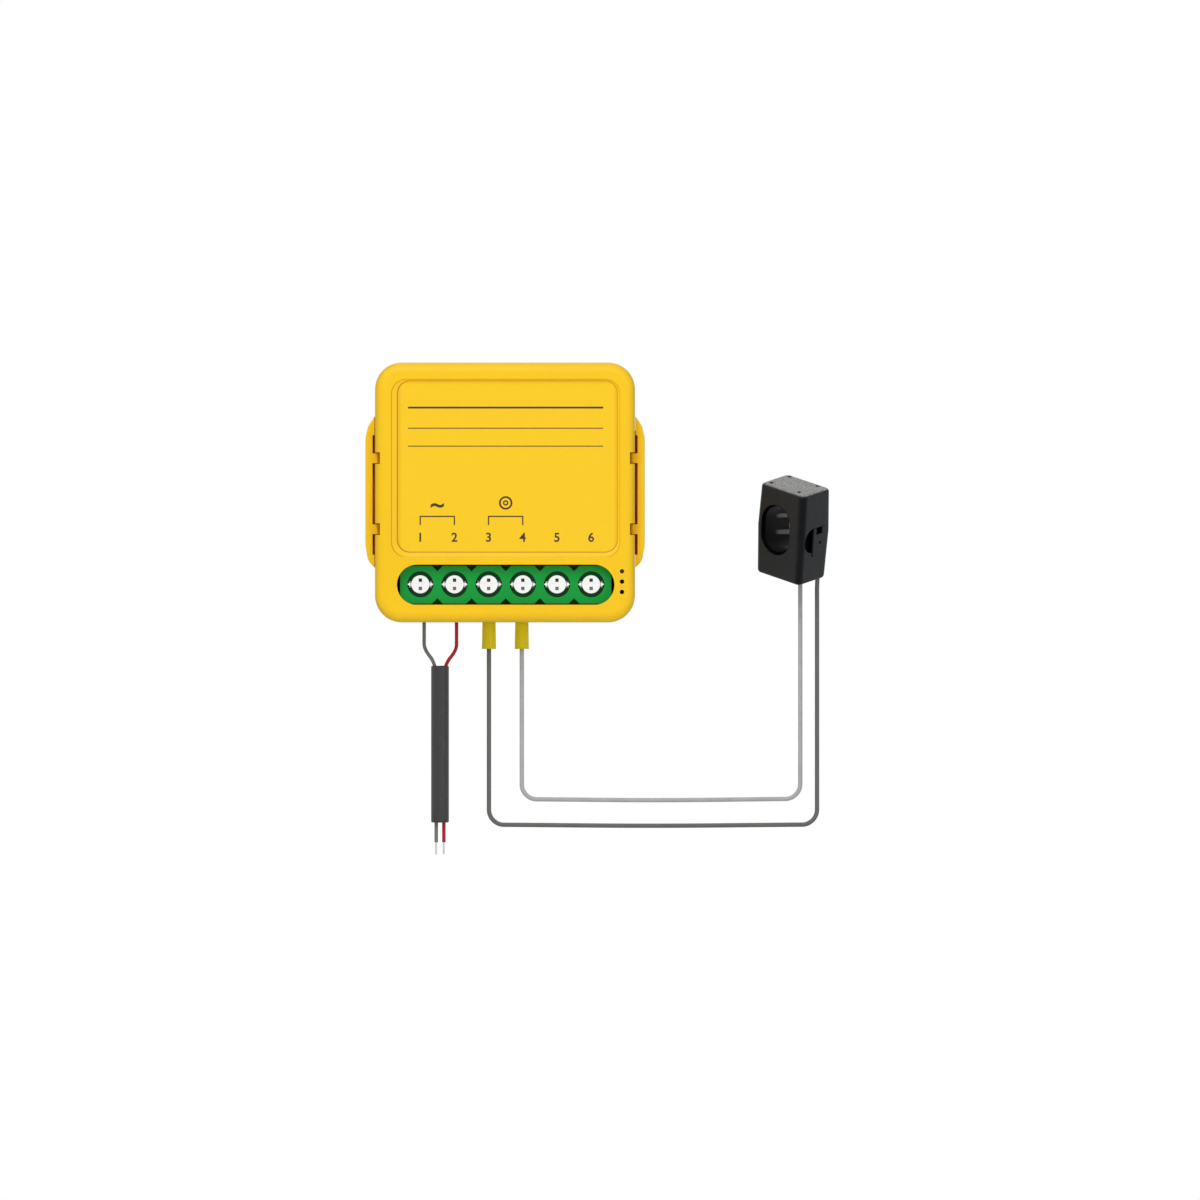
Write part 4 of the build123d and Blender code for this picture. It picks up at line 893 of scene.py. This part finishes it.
# The painted shade is near black and metallic so that it keeps almost no reflection; the painted glints on
# the bore are not metallic
clamp_black = clamp.wear(
    Base_Color=clamp.blend(clamp_shade, clamp.blend(crown, side_black, lit_top_grey), shade_and_glints),
    Metallic=clamp_shade * (1 - bore_glints) * 0.95,
    Roughness=clamp.roughness - polish * 0.06 + crown * 0.15,
    Normal=clamp.relief(clamp.height + coarse * crown, clamp.depth))
dress(clamp_black, "clamp_base", "clamp_jaw", "clamp_cap", "latch_tongue")


# Inside the clamp: two half cores of ground grey ferrite, a nylon bobbin wound with fine enamelled
# copper, a bowed spring strip that presses the cores together, and the hinge pin.

groove_pitch = 0.0002
winding_level, winding_layers, winding_corner = -0.0078, 5, 0.0003

core = Finish("core_ferrite")
grooves = core.sine(core.y * (2 * math.pi / groove_pitch)) * 0.5 + 0.5
grit = core.noise(4600, 3, 0.7)
core_ferrite = core.wear(
    Base_Color=core.blend(grit * 0.6 + grooves * 0.2, rgb(48, 49, 52), rgb(92, 93, 96)),
    Metallic=0.25 + grit * 0.2,
    Roughness=0.52 + grit * 0.15,
    Normal=core.relief(grit + grooves * 0.4, 0.00001))
dress(core_ferrite, "lower_core", "upper_core")

dress(moulded("bobbin_nylon", 226, 222, 206, 0.38, 3800, 0.00001).plain(), "coil_bobbin")
steel = rolled("spring_steel", (206, 208, 210), (150, 154, 160), 0.22, (0.05, 1, 1), 0.000006)
dress(steel.plain(), "core_spring", "hinge_pin")

enamel = Finish("copper_wire", Metallic=0.85)
heat = enamel.noise(900, 3)
copper_wire = enamel.wear(
    Base_Color=enamel.blend(heat, rgb(206, 116, 58), rgb(168, 80, 34)),
    Roughness=0.22 + heat * 0.15,
    Normal=enamel.relief(heat, 0.000006))

coil = Weaver("coil_turns", {
    "Wire": 0.00013, "Turns": 50, "Length": 0.00666, "Depth": 0.0058, "Height": 0.0016})
starts = coil.node("GeometryNodeMeshLine", {"mode": "END_POINTS"}, {
    "Count": coil.size("Turns"),
    "Start Location": coil.node("ShaderNodeCombineXYZ", inputs={"X": coil.size("Length") * -0.5}),
    "Offset": coil.node("ShaderNodeCombineXYZ", inputs={"X": coil.size("Length") * 0.5})})
gauge = coil.node("GeometryNodeCurvePrimitiveCircle", inputs={
    "Resolution": 6, "Radius": coil.size("Wire") * 0.5})
layers = []
for layer in range(winding_layers):
    grow = coil.size("Wire") * (2.0 * layer + 1.0)
    loop = coil.node("GeometryNodeCurvePrimitiveQuadrilateral", inputs={
        "Width": coil.size("Height") + grow, "Height": coil.size("Depth") + grow})
    eased = coil.node("GeometryNodeFilletCurve", {"mode": "POLY"}, {
        "Curve": loop, "Radius": winding_corner, "Count": 3, "Limit Radius": True})
    turn_mesh = coil.node("GeometryNodeCurveToMesh", inputs={"Curve": eased, "Profile Curve": gauge})
    stood = coil.node("GeometryNodeTransform", inputs={
        "Geometry": turn_mesh, "Rotation": (0.0, math.pi / 2, 0.0)})
    layers.append(coil.node("GeometryNodeInstanceOnPoints", inputs={"Points": starts, "Instance": stood}))
winding_place = clamp_place @ Matrix.Translation((bore_shift, 0, winding_level))
winding = coil.mesh("coil_winding_turns", coil.join(*layers), copper_wire, winding_place)
fit_piece("coil_winding_turns", winding, copper_wire, ["coil_winding"])


# Studio: a pale floor well below the hanging tail, a white surround, a broad soft lamp high in front,
# two weaker ones at the right and behind, and the camera level with the module and square to its
# label, with a long lens.

floor_size, floor_middle = 0.5, (0.02, 0, -0.2)
lit_strength, seen_strength = 0.55, 1.0
view_centre = Vector((0.0212, 0.0, -0.024))
view_distance, view_plane, view_width = 2.5, 0.019, 0.2677
film_width = 36.0

ground = bmesh.new()
bmesh.ops.create_grid(ground, x_segments=8, y_segments=8, size=floor_size,
                      matrix=Matrix.Translation(floor_middle))
floor_mesh = bpy.data.meshes.new("studio_floor")
ground.to_mesh(floor_mesh)
ground.free()
paper = Finish("studio_paper")
fibre = paper.noise(120, 3)
studio_paper = paper.wear(
    Base_Color=paper.blend(fibre, rgb(236, 236, 234), rgb(243, 243, 241)),
    Roughness=0.8 + fibre * 0.1,
    Normal=paper.relief(fibre, 0.0002))
floor_mesh.materials.append(studio_paper)
floor = bpy.data.objects.new("studio_floor", floor_mesh)
bpy.context.scene.collection.objects.link(floor)

world = bpy.data.worlds.new("studio_white")
bpy.context.scene.world = world
world.use_nodes = True
surround = Recipe(world.node_tree)
ray = surround.node("ShaderNodeLightPath", output="Is Camera Ray")
seen = ray + ray.other("Is Glossy Ray") + ray.other("Is Transmission Ray")
white = surround.sum("MINIMUM", seen, 1.0)
background = world.node_tree.nodes["Background"].inputs
surround.feed(background["Strength"], white * (seen_strength - lit_strength) + lit_strength)
surround.feed(background["Color"], (1.0, 1.0, 1.0, 1.0))


def soft_lamp(name, place, aim, size, power):
    """A square soft box turned to face the object."""
    lamp = bpy.data.lights.new(name, "AREA")
    lamp.shape = "SQUARE"
    lamp.size = size
    lamp.energy = power
    holder = bpy.data.objects.new(name, lamp)
    holder.location = place
    holder.rotation_euler = (Vector(aim) - Vector(place)).to_track_quat("-Z", "Y").to_euler()
    bpy.context.scene.collection.objects.link(holder)


soft_lamp("key_lamp", (-0.25, -0.7, 0.75), (0.02, 0, -0.02), 0.5, 5.0)
soft_lamp("fill_lamp", (0.6, -0.8, 0.1), (0.02, 0, -0.02), 0.6, 1.5)
soft_lamp("crown_lamp", (0.02, 0.55, 0.55), (0.04, 0, -0.01), 0.4, 1.0)

lens = bpy.data.cameras.new("camera")
lens.sensor_width = film_width
lens.lens = film_width * (view_distance - view_plane) / view_width
lens.clip_start = 0.1
camera = bpy.data.objects.new("camera", lens)
camera.location = view_centre - Vector((0, view_distance, 0))
camera.rotation_euler = Euler((math.pi / 2, 0, 0))
bpy.context.scene.collection.objects.link(camera)
bpy.context.scene.camera = camera
bpy.context.scene.view_settings.view_transform = "Standard"
